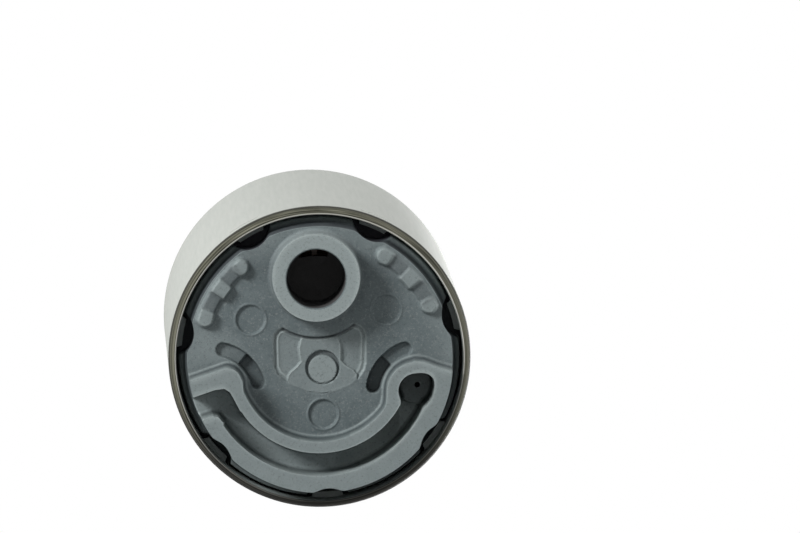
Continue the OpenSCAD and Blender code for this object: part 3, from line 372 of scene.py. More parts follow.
def plain_copy(made):
    """Turns an object with modifiers into a plain mesh and takes the modifiers off."""
    seen = made.evaluated_get(bpy.context.evaluated_depsgraph_get())
    mesh = bpy.data.meshes.new_from_object(seen)
    made.modifiers.clear()
    made.data = mesh
    return made


def settle(made, body, slot, *nodes, finish=None):
    """Gives a finished piece its body, its slot and the nodes that it stands for."""
    made.data.materials.clear()
    made.data.materials.append(finish or finish_of(slot))
    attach(made, body)
    if nodes:
        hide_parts(*nodes)
    return made


def revolve(profile, sides=128, at=(0.0, 0.0)):
    """Points and faces of a closed solid turned from a profile of (radius, height) that starts and ends on the axis."""
    points, faces = [], []
    rows = []
    for r, z in profile:
        if r < 1e-6:
            rows.append([len(points)])
            points.append((at[0], at[1], z))
            continue
        rows.append(list(range(len(points), len(points) + sides)))
        points += [(at[0] + r * math.cos(2 * math.pi * k / sides), at[1] + r * math.sin(2 * math.pi * k / sides), z)
                   for k in range(sides)]
    for low, high in zip(rows, rows[1:]):
        for k in range(sides):
            j = (k + 1) % sides
            if len(low) == 1:
                faces.append((low[0], high[k], high[j]))
            elif len(high) == 1:
                faces.append((low[k], high[0], low[j]))
            else:
                faces.append((low[k], high[k], high[j], low[j]))
    return points, faces


def cut_away(made, tool):
    """Cuts one closed mesh from another and removes the tool."""
    change = made.modifiers.new("Cut", "BOOLEAN")
    change.operation = "DIFFERENCE"
    change.solver = "MANIFOLD"
    change.object = tool
    plain_copy(made)
    bpy.data.objects.remove(tool)
    return made


# Distances on the face, in millimetres: u runs right and v up, as seen from outside


def disc(u, v, at, r):
    return np.hypot(u - at[0], v - at[1]) - r


def arc_band(u, v, low_r, high_r, low_a, high_a, at=(0.0, 0.0)):
    """Distance to a stretch of a ring between two angles in degrees."""
    r = np.hypot(u - at[0], v - at[1])
    middle, half = math.radians((low_a + high_a) / 2), math.radians((high_a - low_a) / 2)
    off = np.abs((np.arctan2(v - at[1], u - at[0]) - middle + math.pi) % (2 * math.pi) - math.pi) - half
    across = np.maximum(low_r - r, r - high_r)
    along = off * np.maximum(r, 1.0)
    return np.where((across > 0) & (along > 0), np.hypot(across, along), np.maximum(across, along))


def arc_slot(u, v, r, half_w, low_a, high_a, at):
    """Distance to a curved slot with round ends."""
    ends = [disc(u, v, (at[0] + r * math.cos(math.radians(a)), at[1] + r * math.sin(math.radians(a))), half_w)
            for a in (low_a, high_a)]
    return np.minimum(arc_band(u, v, r - half_w, r + half_w, low_a, high_a, at), np.minimum(*ends))


def outline_of(u, v, points):
    """Signed distance to a polygon."""
    near = np.full(u.shape, 1e9)
    inside = np.zeros(u.shape, bool)
    for (ax, ay), (bx, by) in zip(points, points[1:] + points[:1]):
        ex, ey = bx - ax, by - ay
        wx, wy = u - ax, v - ay
        t = np.clip((wx * ex + wy * ey) / (ex * ex + ey * ey), 0, 1)
        near = np.minimum(near, np.hypot(wx - ex * t, wy - ey * t))
        crosses = (ay > v) != (by > v)
        side = (ex * (v - ay) / np.where(ey == 0, 1e-9, ey)) + ax
        inside ^= crosses & (u < side)
    return np.where(inside, -near, near)


def soft_min(a, b, k):
    """The nearer of two distances, blended over k so that the shapes flow together."""
    h = np.clip(0.5 + 0.5 * (b - a) / k, 0, 1)
    return b + (a - b) * h - k * h * (1 - h)


def fall(d, start, end):
    """1 where d is below start and 0 above end, with a rounded top and foot."""
    t = np.clip((d - start) / (end - start), 0, 1)
    return 1 - t * t * (3 - 2 * t)


def raised(height, level, share):
    """Lifts the surface towards a level by a share of 0 to 1."""
    return height + (level - height) * share


# The face of the inlet casting

TOWER = (-0.55, 10.4)
TOWER_R = 5.45
VENT_WELL = (12.0, -3.8)
GUTTER_AT = (-0.2, 0.0)
GUTTER_IN, GUTTER_OUT = 11.6, 14.45
WALL_IN = 10.2
MARKS = [(-8.7, 4.9), (8.3, 6.2), (0.45, -7.0)]
RAMPS = [(126.8, 134, 140.5, 149, 156.5, 164.8), (22.2, 29.5, 37.5, 46.5, 54.5, 62.3)]
KIDNEYS = [((-13.5, -4.7), 5.95, (17, 77), 49), ((12.7, -4.5), 6.05, (110, 170), 137)]
PANEL = [(-4.6, 3.95), (-5.3, 3.6), (-5.75, 3.0), (-5.85, 2.2), (-5.75, -1.2), (-5.3, -2.1), (-4.5, -2.8),
         (-3.2, -3.6), (-1.5, -4.25), (0.2, -4.45), (2, -4.2), (3.6, -3.5), (4.8, -2.6), (5.5, -1.5), (5.75, -0.6),
         (5.75, 2.8), (5.55, 3.6), (5.0, 4.15), (4.3, 4.4)]
PANEL_RING = 7.65
ISLAND = [(-1.9, 2.9), (-2.4, 2.2), (-2.6, 1.3), (-2.5, 0.4), (-2.35, -0.4), (-2.9, -1.1), (-3.6, -1.7), (-3.95, -2.2),
          (-4.05, -2.8), (-3.75, -3.25), (-3.2, -3.5), (-1.5, -4.1), (0.2, -4.3), (2, -4.1), (3.5, -3.5), (4.3, -3.0),
          (4.65, -2.5), (4.6, -2.0), (4.2, -1.5), (3.2, -0.9), (2.6, -0.3), (2.6, 1.0), (2.5, 1.9), (2.0, 2.9)]
MOUTH = [(-18, -5.3), (-15.5, -4.45), (-13.2, -3.65), (-12.0, -3.5), (-11.3, -3.95), (-10.75, -4.9), (-10.0, -6.3),
         (-9.3, -7.5), (-11, -9.4), (-12.2, -7.75), (-12.75, -7.1), (-13.5, -6.95), (-14.6, -7.35), (-18, -8.7)]
RIGHT_BAR = [(11.9, -0.27), (12.9, -0.32), (18, -1.75), (18, -7), (12, -6)]
BAR_AT, BAR_R, BAR_TURN = (-11.6, -2.6), 1.65, 19.6
# Soft patches of painted shade and light on the face: centre, spread and amount, darker where the amount is negative.
# The dark ones lie in the tower's shadow and beside the left ramp's end.
PATCHES = [((-8.0, 12.3), 2.6, -0.14), ((7.8, 11.5), 3.0, -0.12), ((-13.0, 1.2), 2.4, 0.35)]
MOAT_LEVEL = -6.0
CAN_STEPS = (19.0, 57.1)


def scalloped(angle, radius, sizes):
    """Radius of the side at an angle in radians, where the side would have the given radius without scallops."""
    pitch = 2 * math.pi / sizes.scallops
    off = (angle - math.radians(16.4) + pitch / 2) % pitch - pitch / 2
    centre = sizes.face_r - sizes.scallop_depth + sizes.scallop_r
    aside = np.abs(centre * np.sin(off)) / sizes.scallop_r
    cut = centre * np.cos(off) - sizes.scallop_r * np.sqrt(np.maximum(1 - aside ** 2, 0)) + np.maximum(aside - 1, 0) * 20
    return soft_min(np.zeros(angle.shape) + radius, cut, 0.4)


def gutter_distance(u, v):
    well = soft_min(disc(u, v, VENT_WELL, 2.25), disc(u, v, (12.9, -3.0), 1.45), 0.4)
    d = soft_min(arc_band(u, v, GUTTER_IN, GUTTER_OUT, 214, 338, GUTTER_AT), well, 0.5)
    return soft_min(d, outline_of(u, v, MOUTH), 0.25)


def wall_distance(u, v):
    """Distance to the gutter's walls, with the bars at both ends."""
    walls = arc_band(u, v, WALL_IN, 19.0, 196, 340, GUTTER_AT)
    walls = soft_min(walls, disc(u, v, VENT_WELL, 3.6), 1.2)
    walls = soft_min(walls, outline_of(u, v, RIGHT_BAR), 0.6)
    turn = math.radians(BAR_TURN)
    along = (u - BAR_AT[0]) * math.cos(turn) + (v - BAR_AT[1]) * math.sin(turn)
    across = (v - BAR_AT[1]) * math.cos(turn) - (u - BAR_AT[0]) * math.sin(turn)
    bar = np.hypot(np.maximum(along, 0), across) - BAR_R
    walls = soft_min(walls, bar, 0.9)
    return np.maximum(walls, -gutter_distance(u, v))


def tower_distance(u, v):
    return disc(u, v, TOWER, TOWER_R)


def ramp_pads(u, v):
    """Distance to each pad of both ramps, with its height. The pads at the ends are round."""
    radius = np.hypot(u, v)
    for steps in RAMPS:
        for k in range(5):
            low, high = steps[k], steps[k + 1]
            tall = k % 2 == 0
            inset = 0.3
            if k in (0, 4):
                turn = low + 4.0 if k == 0 else high - 4.0
                near, far = (turn, high - 1) if k == 0 else (low + 1, turn)
                body = arc_band(u, v, 14.25 + inset, 17.5, near, far) - inset
                knob = disc(u, v, (15.25 * math.cos(math.radians(turn)), 15.25 * math.sin(math.radians(turn))), 1.12)
                pad = soft_min(body, knob, 0.4)
            elif tall:
                pad = arc_band(u, v, 14.05 + inset, 17.5, low + 1.2, high - 1.2) - inset
            else:
                pad = arc_band(u, v, 14.35 + inset, 17.5, low - 1.0, high + 1.0) - inset
            yield np.maximum(pad, radius - 16.3), 0.85 if tall else 0.42


def drop(d, run, foot):
    """Share of a wall's height at a distance outside its edge: a steep side, then a hollow foot."""
    toe = np.clip((d - run) / foot, 0, 1)
    return np.where(d < run, 1 - np.clip((d - 0.02) / (run - 0.02), 0, 1) * 0.87, 0.13 * (1 - toe) ** 2)


def face_height(u, v, sizes):
    """Height of the cast face over its flat, in millimetres, with its painted shade and its paler paint, for wear and
    painted light, 0 to 1.
    """
    run, foot = sizes.wall_run, sizes.wall_foot
    radius = np.hypot(u, v)
    # Painted light: paler towards the rim of the face and round its centre.
    pale = 0.22 * (1 - fall(radius, 12.5, 16.5)) + 0.10 * fall(radius, 2.0, 8.0)
    dark = np.zeros(u.shape)
    # Patches of painted shade and light.
    for at, spread, painted_light in PATCHES:
        share = np.exp(-((u - at[0]) ** 2 + (v - at[1]) ** 2) / spread ** 2)
        pale, dark = pale + max(painted_light, 0) * share, dark + max(-painted_light, 0) * share
    gutter = gutter_distance(u, v)
    inside = fall(gutter, -0.02, 0.03)
    slope = np.clip((u - 2.0) * math.tan(math.radians(24)), 0, 3.6)
    h = -(1.0 + np.where(v < 0, slope, 0)) * inside
    # Painted light lifts the gutter's floor, more along its slope.
    pale += (0.35 + 0.25 * np.clip(slope, 0, 2)) * inside
    well = fall(disc(u, v, VENT_WELL, 2.2), -0.02, 0.1)
    h = raised(h, -3.2, well)
    # Painted shade in the vent well.
    dark = raised(dark, 0.5, well)
    for at in MARKS:
        ring = disc(u, v, at, 1.8)
        h = h - 0.24 * fall(ring, -0.14, 0.06) + 0.08 * np.exp(-((ring - 0.18) / 0.12) ** 2)
    for at, r, ends, turn in KIDNEYS:
        slot = arc_slot(u, v, r, 0.92, ends[0], ends[1], at)
        angle = np.degrees(np.arctan2(v - at[1], u - at[0])) % 360
        deep = fall((angle - turn) * (1 if ends[0] < 50 else -1) * r * math.pi / 180, -0.1, 0.25)
        h = h - (0.62 + 0.9 * deep) * fall(slot, -0.2, 0.06)
        # Painted shade in the kidney slots, darker at their deep ends.
        dark += (0.15 + (0.2 if at[0] < 0 else 0.4) * deep) * fall(slot, -0.15, 0.05)
    ring = PANEL_RING - np.hypot(u - TOWER[0], v - TOWER[1])
    panel = np.maximum(outline_of(u, v, PANEL), ring)
    island = np.maximum(outline_of(u, v, ISLAND), ring + 0.4)
    h = h - 0.34 * fall(panel, -0.2, 0.06) * (1 - fall(island, -0.05, 0.2))
    h = h + 0.10 * np.exp(-((panel + 0.55) / 0.14) ** 2) * (1 - fall(island, 0.0, 0.3))
    h = h + 0.06 * np.exp(-(island / 0.12) ** 2) * fall(panel, -0.1, 0.1)
    # Painted highlight along the island's lower edge.
    pale += 0.4 * np.exp(-(island / 0.13) ** 2) * fall(panel, -0.1, 0.1) * fall(-v, 1.5, 3.0)
    # Painted shadow under the panel's top edge.
    dark += 0.7 * fall(panel, -0.1, 0.05) * np.exp(-((ring + 0.2) / 0.22) ** 2)
    # Painted highlights as double lines along the panel's sides, and the panel a little paler.
    side = outline_of(u, v, PANEL)
    lines = np.exp(-((side + 0.02) / 0.1) ** 2) + np.exp(-((side + 0.52) / 0.1) ** 2)
    pale += 0.24 * fall(panel, -0.3, 0.1) + 0.65 * lines * fall(-v, 1.5, 3.0) * fall(ring, -0.3, 0.1)
    gate = fall(disc(u, v, (0.33, -1.1), 2.12), -0.08, 0.08)
    knob = fall(disc(u, v, (0.36, -1.33), 1.78), -0.06, 0.1)
    h = raised(h, np.where(gate > 0, h - 0.38 * gate, h), 1 - knob)
    # The disc is paler, and its groove gets painted shade.
    pale += 0.24 * knob
    dark += 0.5 * gate * (1 - knob)
    for pad, level in ramp_pads(u, v):
        share = fall(pad, -0.3, 0.14)
        h = raised(h, np.maximum(h, level), share)
        # Painted light on the tall pads and painted shade over the low pads between them.
        pale += 0.75 * max(level - 0.5, 0) * share
        dark = raised(dark, 0.28 if level < 0.5 else 0.0, share)
    wall, mast = wall_distance(u, v), tower_distance(u, v)
    near = np.minimum(wall, mast + 0.25)
    # Painted shade along the foot of the walls and the tower, and a painted highlight on the fillet just beyond it.
    dark += 0.35 * np.exp(-((near - 0.22) / 0.13) ** 2)
    pale += 0.4 * np.exp(-((near - 0.52) / 0.13) ** 2) * (1 - inside)
    walls, tower = drop(wall, run, foot), drop(mast, run, foot)
    h = raised(raised(h, sizes.tower_h, walls), sizes.tower_h, tower)
    # The tops of the walls and the tower are paler, partly worn and partly painted light.
    pale = raised(pale, 0.42, walls > 0.9)
    return h, dark, raised(pale, 0.72, tower > 0.9)


def snapped(u, v, held, distance, step=1e-3):
    """Moves the nearer end of each grid edge that crosses a contour onto it, so that edges run clean."""
    for axis in (0, 1):
        d = distance(u, v)
        other = np.roll(d, -1, axis)
        crosses = (d * other < 0) & (np.abs(d) + np.abs(other) < 0.5) & ~(held & np.roll(held, -1, axis))
        if axis == 0:
            crosses[-1] = False
        first = crosses & (np.abs(d) <= np.abs(other))
        near = (first | np.roll(crosses & ~first, 1, axis)) & ~held
        gu = (distance(u + step, v) - d) / step
        gv = (distance(u, v + step) - d) / step
        size = np.maximum(gu * gu + gv * gv, 0.3)
        u, v = np.where(near, u - d * gu / size, u), np.where(near, v - d * gv / size, v)
        held = held | near
    return u, v, held


def face_grid(sizes):
    """Points of the face on rings and spokes, warped to the scalloped outline and snapped to the walls' edges."""
    angle = np.arange(sizes.spokes) * 2 * math.pi / sizes.spokes
    radii = np.linspace(0.13, sizes.face_r, sizes.rings)
    edge = scalloped(angle, sizes.face_r, sizes)
    pull = np.clip((radii - 13.0) / (sizes.face_r - 13.0), 0, 1) ** 1.5
    r = radii[:, None] - pull[:, None] * (sizes.face_r - edge)[None, :]
    u, v = r * np.cos(angle), r * np.sin(angle)
    run = sizes.wall_run + 0.01
    held = np.zeros(u.shape, bool)
    held[-2:] = True
    for contour in (tower_distance, wall_distance, lambda a, b: tower_distance(a, b) - run,
                    lambda a, b: wall_distance(a, b) - run, lambda a, b: disc(a, b, VENT_WELL, 2.2)):
        u, v, held = snapped(u, v, held, contour)
    return u, v, angle, edge


def hollowness(h, passes=5):
    """How deep a point lies under its near surroundings, and how much it stands out, both 0 to 1."""
    wide = h.copy()
    for _ in range(passes):
        wide[1:-1] = (wide[:-2] + wide[2:] + wide[1:-1] + np.roll(wide[1:-1], 2, 1) + np.roll(wide[1:-1], -2, 1)) / 5
    gap = wide - h
    return np.clip(gap * 0.5, 0, 1), np.clip(-gap, 0, 1)


def casting_mesh(sizes):
    """The closed mesh of the casting: its face, the wall of the moat, the flange and the plain back."""
    u, v, angle, edge = face_grid(sizes)
    h, painted, pale = face_height(u, v, sizes)
    # Painted shade in hollows, from how deep they lie, together with the face's painted shade; paler paint where the
    # surface stands out, for wear and painted highlights.
    hollow, wear_and_light = hollowness(h)
    hollow = np.clip(hollow * 0.5 + painted * np.clip(3 - h, 0, 1), 0, 0.95)
    wear_and_light *= 0.4
    rows_u, rows_v, rows_h = [u], [v], [h]
    dark, worn_and_lit = [hollow], [np.clip(wear_and_light + pale, 0, 1)]
    outer = h[-1]
    # Rows down the moat's side: a thin painted highlight along the rim of the face, painted shade just below it and in
    # the notches, and painted light further down.
    for level, painted_light in ((outer - 0.06, 1.0), (outer - 0.2, 0.3), (-0.7, 0), (-1.6, 0), (-2.4, 0), (-2.7, 0.3),
                        (-3.0, 0.7), (-3.2, 0.9), (-3.8, 0.9), (-5.0, 0.9), (MOAT_LEVEL, 0.9)):
        level = np.minimum(outer - 0.06, level)
        flare = np.interp(-level, (0, 2.4, 3.2, 6.0), (0, 0.3, 0.8, 1.0))
        r = scalloped(angle, sizes.face_r + sizes.draft * flare, sizes)
        notch = np.clip((sizes.face_r + sizes.draft * flare - r) * 4, 0, 1)
        rows_u.append((r * np.cos(angle))[None])
        rows_v.append((r * np.sin(angle))[None])
        rows_h.append(level[None])
        shadow = 0.6 * fall(-level, 2.2, 3.0) * fall(level - outer, -0.3, -0.05)
        dark.append(np.maximum(0.88 * notch * fall(level - outer, -0.3, -0.05), shadow)[None])
        worn_and_lit.append((painted_light * (1 - notch * (painted_light < 1)))[None])
    for r, level in ((17.75, -6.0), (17.95, -6.15), (17.95, FACE_Z - PUMP_Z + 0.1), (17.85, FACE_Z - PUMP_Z),
                     (14.4, FACE_Z - PUMP_Z), (14.3, FACE_Z - PUMP_Z + 1.1), (12.2, FACE_Z - PUMP_Z + 1.1),
                     (12.1, FACE_Z - PUMP_Z), (3.05, FACE_Z - PUMP_Z), (3.05, FACE_Z - PUMP_Z + 1.6),
                     (0.5, FACE_Z - PUMP_Z + 1.6)):
        seen = np.degrees(math.pi - angle) % 360
        in_channel = ((seen - 74) % 360) < 322
        at = np.where(in_channel, level, FACE_Z - PUMP_Z) if 12.15 < r < 14.35 else np.full(len(angle), level)
        rows_u.append((r * np.cos(angle))[None])
        rows_v.append((r * np.sin(angle))[None])
        rows_h.append(at[None])
        # Painted shade on the moat's floor.
        dark.append(np.full((1, len(angle)), 0.9 if level > FACE_Z - PUMP_Z + 2 else 0.1))
        worn_and_lit.append(np.zeros((1, len(angle))))
    us, vs, hs = (np.concatenate(rows) for rows in (rows_u, rows_v, rows_h))
    n_rows, n = us.shape
    points = np.stack([-us.ravel(), vs.ravel(), FACE_Z - hs.ravel()], 1)
    index = np.arange(n_rows * n).reshape(n_rows, n)
    turned = np.roll(index, -1, 1)
    quads = np.stack([index[:-1], index[1:], turned[1:], turned[:-1]], -1).reshape(-1, 4)
    level = hs.ravel()[quads]
    across = np.abs(level[:, 0] - level[:, 2]) <= np.abs(level[:, 1] - level[:, 3])
    halves = np.concatenate([quads[across][:, [0, 1, 2]], quads[across][:, [0, 2, 3]],
                             quads[~across][:, [0, 1, 3]], quads[~across][:, [1, 2, 3]]])
    front, back = len(points), len(points) + 1
    centre_h = face_height(np.zeros(1), np.zeros(1), sizes)[0][0]
    points = np.concatenate([points, [(0, 0, FACE_Z - centre_h), (0, 0, PUMP_Z - 1.6)]])
    faces = [tuple(half) for half in halves.tolist()]
    faces += [(front, int(index[0, k]), int(turned[0, k])) for k in range(n)]
    faces += [(back, int(turned[-1, k]), int(index[-1, k])) for k in range(n)]
    hollow_all = np.concatenate([np.concatenate(dark).ravel(), [0.05, 0.1]])
    wear_and_light_all = np.concatenate([np.concatenate(worn_and_lit).ravel(), [0.0, 0.0]])
    return points, faces, hollow_all, wear_and_light_all


def set_attribute(mesh, name, values):
    layer = mesh.attributes.new(name, "FLOAT", "POINT")
    layer.data.foreach_set("value", np.asarray(values, np.float32))


def can_mesh(sides=360):
    """The can as a turned shell: a rounded inlet edge with a thin lip, pressed stakes and a rolled outlet edge."""
    outer, inner, stake_in, stake_out = 19.0, 18.0, -0.7, -0.6
    rows = [(inner, 4.62, 0), (18.03, 4.47, 0), (18.09, 4.41, 0), (18.2, 4.4, 0)]
    rows += [(18.2 + 0.8 * math.sin(a), 6.5 - 2.1 * math.cos(a), 0) for a in np.linspace(0.1, math.pi / 2, 14)]
    rows += [(outer, 8.42, 0), (outer, 8.55, stake_out), (outer, 9.35, stake_out), (outer, 9.48, 0), (outer, 20, 0),
             (outer, 42, 0)]
    rows += [(18.0 + math.cos(a), 65.4 + math.sin(a), 0) for a in np.linspace(0, math.pi / 2, 9)]
    rows += [(17.0, 66.4, 0), (16.86, 66.34, 0), (16.8, 66.2, 0), (16.8, 65.4, 0), (inner, 65.4, 0),
             (inner, CAN_STEPS[1], 0), (17.0, CAN_STEPS[1], 0), (17.0, CAN_STEPS[0], 0), (inner, CAN_STEPS[0], 0),
             (inner, 9.48, 0), (inner, 9.38, stake_in), (inner, 8.52, stake_in), (inner, 8.42, 0)]
    angle = np.arange(sides) * 2 * math.pi / sides
    pitch = 2 * math.pi / 7
    off = np.abs((angle - math.radians(180 - 16.4) + pitch / 2) % pitch - pitch / 2) * 19
    points = np.concatenate([np.stack([(r + dent * (off < 2.0)) * np.cos(angle), (r + dent * (off < 2.0)) * np.sin(angle),
                                       np.full(sides, z)], 1) for r, z, dent in rows])
    index = np.arange(len(points)).reshape(len(rows), sides)
    low, high = index, np.roll(index, -1, 0)
    quads = np.stack([low, np.roll(low, -1, 1), np.roll(high, -1, 1), high], -1).reshape(-1, 4)
    return points, [tuple(quad) for quad in quads.tolist()]


def bore_tools():
    """The tools that cut the inlet bore, the inlet port and the vapour vent."""
    bore = add_mesh("bore_tool", *revolve([(0, -1), (3.9, -1), (3.84, -0.02), (3.76, 0.05), (3.7, 0.16), (3.7, 9.8),
                                           (3.5, 10.0), (0, 10.0)], 144, (-TOWER[0], TOWER[1] - 0.1)), finish_of("cast_metal"))
    vent = add_mesh("vent_tool", *revolve([(0, 5), (0.35, 5), (0.35, 12.5), (0, 12.5)], 24, (-12.3, -3.6)),
                    finish_of("cast_metal"))
    low, high, steps = 12.35, 14.15, 24
    points, faces = [], []
    for k in range(steps + 1):
        a = math.radians(78 + 17 * k / steps)
        points += [(r * math.cos(a), r * math.sin(a), z) for r, z in ((low, 9), (high, 9), (high, 13), (low, 13))]
    for k in range(steps):
        for j in range(4):
            a, b = 4 * k + j, 4 * k + (j + 1) % 4
            faces.append((a, b, b + 4, a + 4))
    faces += [(0, 1, 2, 3), tuple(4 * steps + j for j in (3, 2, 1, 0))]
    port = add_mesh("port_tool", points, faces, finish_of("cast_metal"))
    return bore, vent, port


# Wound wires


def wire_tree(name, finish):
    """Geometry nodes: a spiral swept into a round wire. Radius, height, turns and wire size are its inputs."""
    tree = bpy.data.node_groups.new(name, "GeometryNodeTree")
    face = tree.interface
    face.new_socket("Geometry", in_out="OUTPUT", socket_type="NodeSocketGeometry")
    for label, kind in (("Radius", "Float"), ("Height", "Float"), ("Turns", "Float"), ("Wire", "Float"),
                        ("Steps", "Int"), ("Sides", "Int")):
        face.new_socket(label, in_out="INPUT", socket_type=f"NodeSocket{kind}")
    given = tree.nodes.new("NodeGroupInput").outputs
    spiral = add_node(tree, "GeometryNodeCurveSpiral", {
        "Resolution": given["Steps"], "Rotations": given["Turns"], "Start Radius": given["Radius"],
        "End Radius": given["Radius"], "Height": given["Height"]})
    profile = add_node(tree, "GeometryNodeCurvePrimitiveCircle", {"Resolution": given["Sides"], "Radius": given["Wire"]})
    swept = add_node(tree, "GeometryNodeCurveToMesh", {
        "Curve": spiral.outputs[0], "Profile Curve": profile.outputs["Curve"], "Fill Caps": True})
    smooth = add_node(tree, "GeometryNodeSetShadeSmooth", {"Geometry": swept.outputs[0]})
    real = add_node(tree, "GeometryNodeRealizeInstances", {"Geometry": smooth.outputs[0]})
    painted = add_node(tree, "GeometryNodeSetMaterial", {"Geometry": real.outputs[0], "Material": finish})
    out = tree.nodes.new("NodeGroupOutput")
    tree.links.new(painted.outputs[0], out.inputs[0])
    return tree


def grown(name, tree, inputs):
    """A plain mesh made by a tree of geometry nodes with the given inputs."""
    made = bpy.data.objects.new(name, bpy.data.meshes.new(name))
    bpy.context.collection.objects.link(made)
    change = made.modifiers.new("Build", "NODES")
    change.node_group = tree
    for item in tree.interface.items_tree:
        if item.in_out == "INPUT" and item.name in inputs:
            change[item.identifier] = inputs[item.name]
    return plain_copy(made)


def place(made, x, y, z):
    """Moves a mesh's points, in millimetres, and leaves its object at the origin."""
    shift = Matrix.Translation(Vector((x, y, z)) * MM)
    made.data.transform(shift)
    return made


def coil(name, slot, sizes, at, low, high, radius, wire, turns):
    """A coil between two heights, in millimetres."""
    tree = wire_tree(f"{name} wire", finish_of(slot))
    made = grown(name, tree, {"Radius": radius * MM, "Height": (high - low - 2 * wire) * MM, "Turns": float(turns),
                              "Wire": wire * MM, "Steps": int(sizes.steps * turns), "Sides": sizes.sides})
    return place(made, at[0], at[1], low + wire)


def strand_tree(finish):
    """Geometry nodes: a fan of straight wires, turned round the axis once for each slot."""
    tree = bpy.data.node_groups.new("winding strands", "GeometryNodeTree")
    face = tree.interface
    face.new_socket("Geometry", in_out="OUTPUT", socket_type="NodeSocketGeometry")
    for label, kind in (("Reach", "Float"), ("Offset", "Float"), ("Wire", "Float"), ("Pitch", "Float"),
                        ("Strands", "Int"), ("Slots", "Int"), ("Angle", "Float")):
        face.new_socket(label, in_out="INPUT", socket_type=f"NodeSocket{kind}")
    given = tree.nodes.new("NodeGroupInput").outputs

    def maths(operation, a, b=0.0):
        return add_node(tree, "ShaderNodeMath", {0: a, 1: b}, operation=operation).outputs[0]

    def vector(x=0.0, y=0.0, z=0.0):
        return add_node(tree, "ShaderNodeCombineXYZ", {0: x, 1: y, 2: z}).outputs[0]

    minus = maths("MULTIPLY", given["Reach"], -1.0)
    line = add_node(tree, "GeometryNodeCurvePrimitiveLine", {"Start": vector(0.0, minus), "End": vector(0.0, given["Reach"])})
    profile = add_node(tree, "GeometryNodeCurvePrimitiveCircle", {"Resolution": 8, "Radius": given["Wire"]})
    wire = add_node(tree, "GeometryNodeCurveToMesh", {
        "Curve": line.outputs[0], "Profile Curve": profile.outputs["Curve"], "Fill Caps": True})
    row = add_node(tree, "GeometryNodeMeshLine", {
        "Count": given["Strands"], "Start Location": vector(given["Offset"]), "Offset": vector(given["Pitch"])})
    fan = add_node(tree, "GeometryNodeInstanceOnPoints", {"Points": row.outputs[0], "Instance": wire.outputs[0]})
    ring = add_node(tree, "GeometryNodeMeshLine", {"Count": given["Slots"], "Offset": (0.0, 0.0, 0.0)})
    turn = maths("MULTIPLY", add_node(tree, "GeometryNodeInputIndex").outputs[0], given["Angle"])
    rings = add_node(tree, "GeometryNodeInstanceOnPoints", {
        "Points": ring.outputs[0], "Instance": fan.outputs[0], "Rotation": vector(0.0, 0.0, turn)})
    lift = add_node(tree, "GeometryNodeInputIndex").outputs[0]
    raised = add_node(tree, "GeometryNodeTranslateInstances", {
        "Instances": rings.outputs[0], "Translation": vector(0.0, 0.0, maths("MULTIPLY", lift, maths(
            "MULTIPLY", given["Wire"], 0.35))), "Local Space": False})
    real = add_node(tree, "GeometryNodeRealizeInstances", {"Geometry": raised.outputs[0]})
    smooth = add_node(tree, "GeometryNodeSetShadeSmooth", {"Geometry": real.outputs[0]})
    painted = add_node(tree, "GeometryNodeSetMaterial", {"Geometry": smooth.outputs[0], "Material": finish})
    out = tree.nodes.new("NodeGroupOutput")
    tree.links.new(painted.outputs[0], out.inputs[0])
    return tree


def body_of(node):
    for name, nodes in frame["record"]["behaviour"]["bodies"].items():
        if node in nodes:
            return name
    raise ValueError(f"no body holds {node}")


def softened(node, width_mm, segments=2, angle=35.0):
    """A copy of a CAD node with its edges rounded by a bevel."""
    source = frame["nodes"][node]
    mesh = source.data.copy()
    work = bmesh.new()
    work.from_mesh(mesh)
    bmesh.ops.remove_doubles(work, verts=work.verts, dist=2e-6)
    bmesh.ops.dissolve_limit(work, angle_limit=math.radians(1.0), verts=work.verts, edges=work.edges)
    work.to_mesh(mesh)
    work.free()
    mesh.shade_smooth()
    mesh.set_sharp_from_angle(angle=math.radians(angle))
    made = bpy.data.objects.new(f"{node}_finished", mesh)
    bpy.context.collection.objects.link(made)
    change = made.modifiers.new("Edges", "BEVEL")
    change.width = width_mm * MM
    change.segments = segments
    change.limit_method = "ANGLE"
    change.angle_limit = math.radians(angle)
    change.use_clamp_overlap = True
    flat = made.modifiers.new("Flat faces", "WEIGHTED_NORMAL")
    flat.keep_sharp = True
    return plain_copy(made)


# Operators


class PUMP_OT_finishes(bpy.types.Operator):
    """Give every CAD node its finish"""

    bl_idname = "pump.finishes"
    bl_label = "Finish the CAD nodes"

    def execute(self, context):
        for node, slot in node_slots().items():
            mesh = frame["nodes"][node].data
            mesh.materials.clear()
            mesh.materials.append(finish_of(slot))
        return {"FINISHED"}


class PUMP_OT_inlet_casting(bpy.types.Operator):
    """Make the inlet casting with its drafted walls, fillets, ramps and marks"""

    bl_idname = "pump.inlet_casting"
    bl_label = "Inlet casting"

    def execute(self, context):
        sizes = context.scene.pump_casting
        points, faces, hollow, wear_and_light = casting_mesh(sizes)
        mesh = bpy.data.meshes.new("inlet_casting")
        mesh.from_pydata([tuple(p) for p in points * MM], [], faces)
        set_attribute(mesh, "hollow", hollow)
        set_attribute(mesh, "wear_and_light", wear_and_light)
        work = bmesh.new()
        work.from_mesh(mesh)
        bmesh.ops.recalc_face_normals(work, faces=work.faces)
        work.to_mesh(mesh)
        work.free()
        made = bpy.data.objects.new("inlet_casting", mesh)
        context.collection.objects.link(made)
        for tool in bore_tools():
            cut_away(made, tool)
        made.data.shade_smooth()
        made.data.set_sharp_from_angle(angle=math.radians(50))
        settle(made, ROOT, "cast_metal", "inlet_cover", finish=casting_finish())
        return {"FINISHED"}


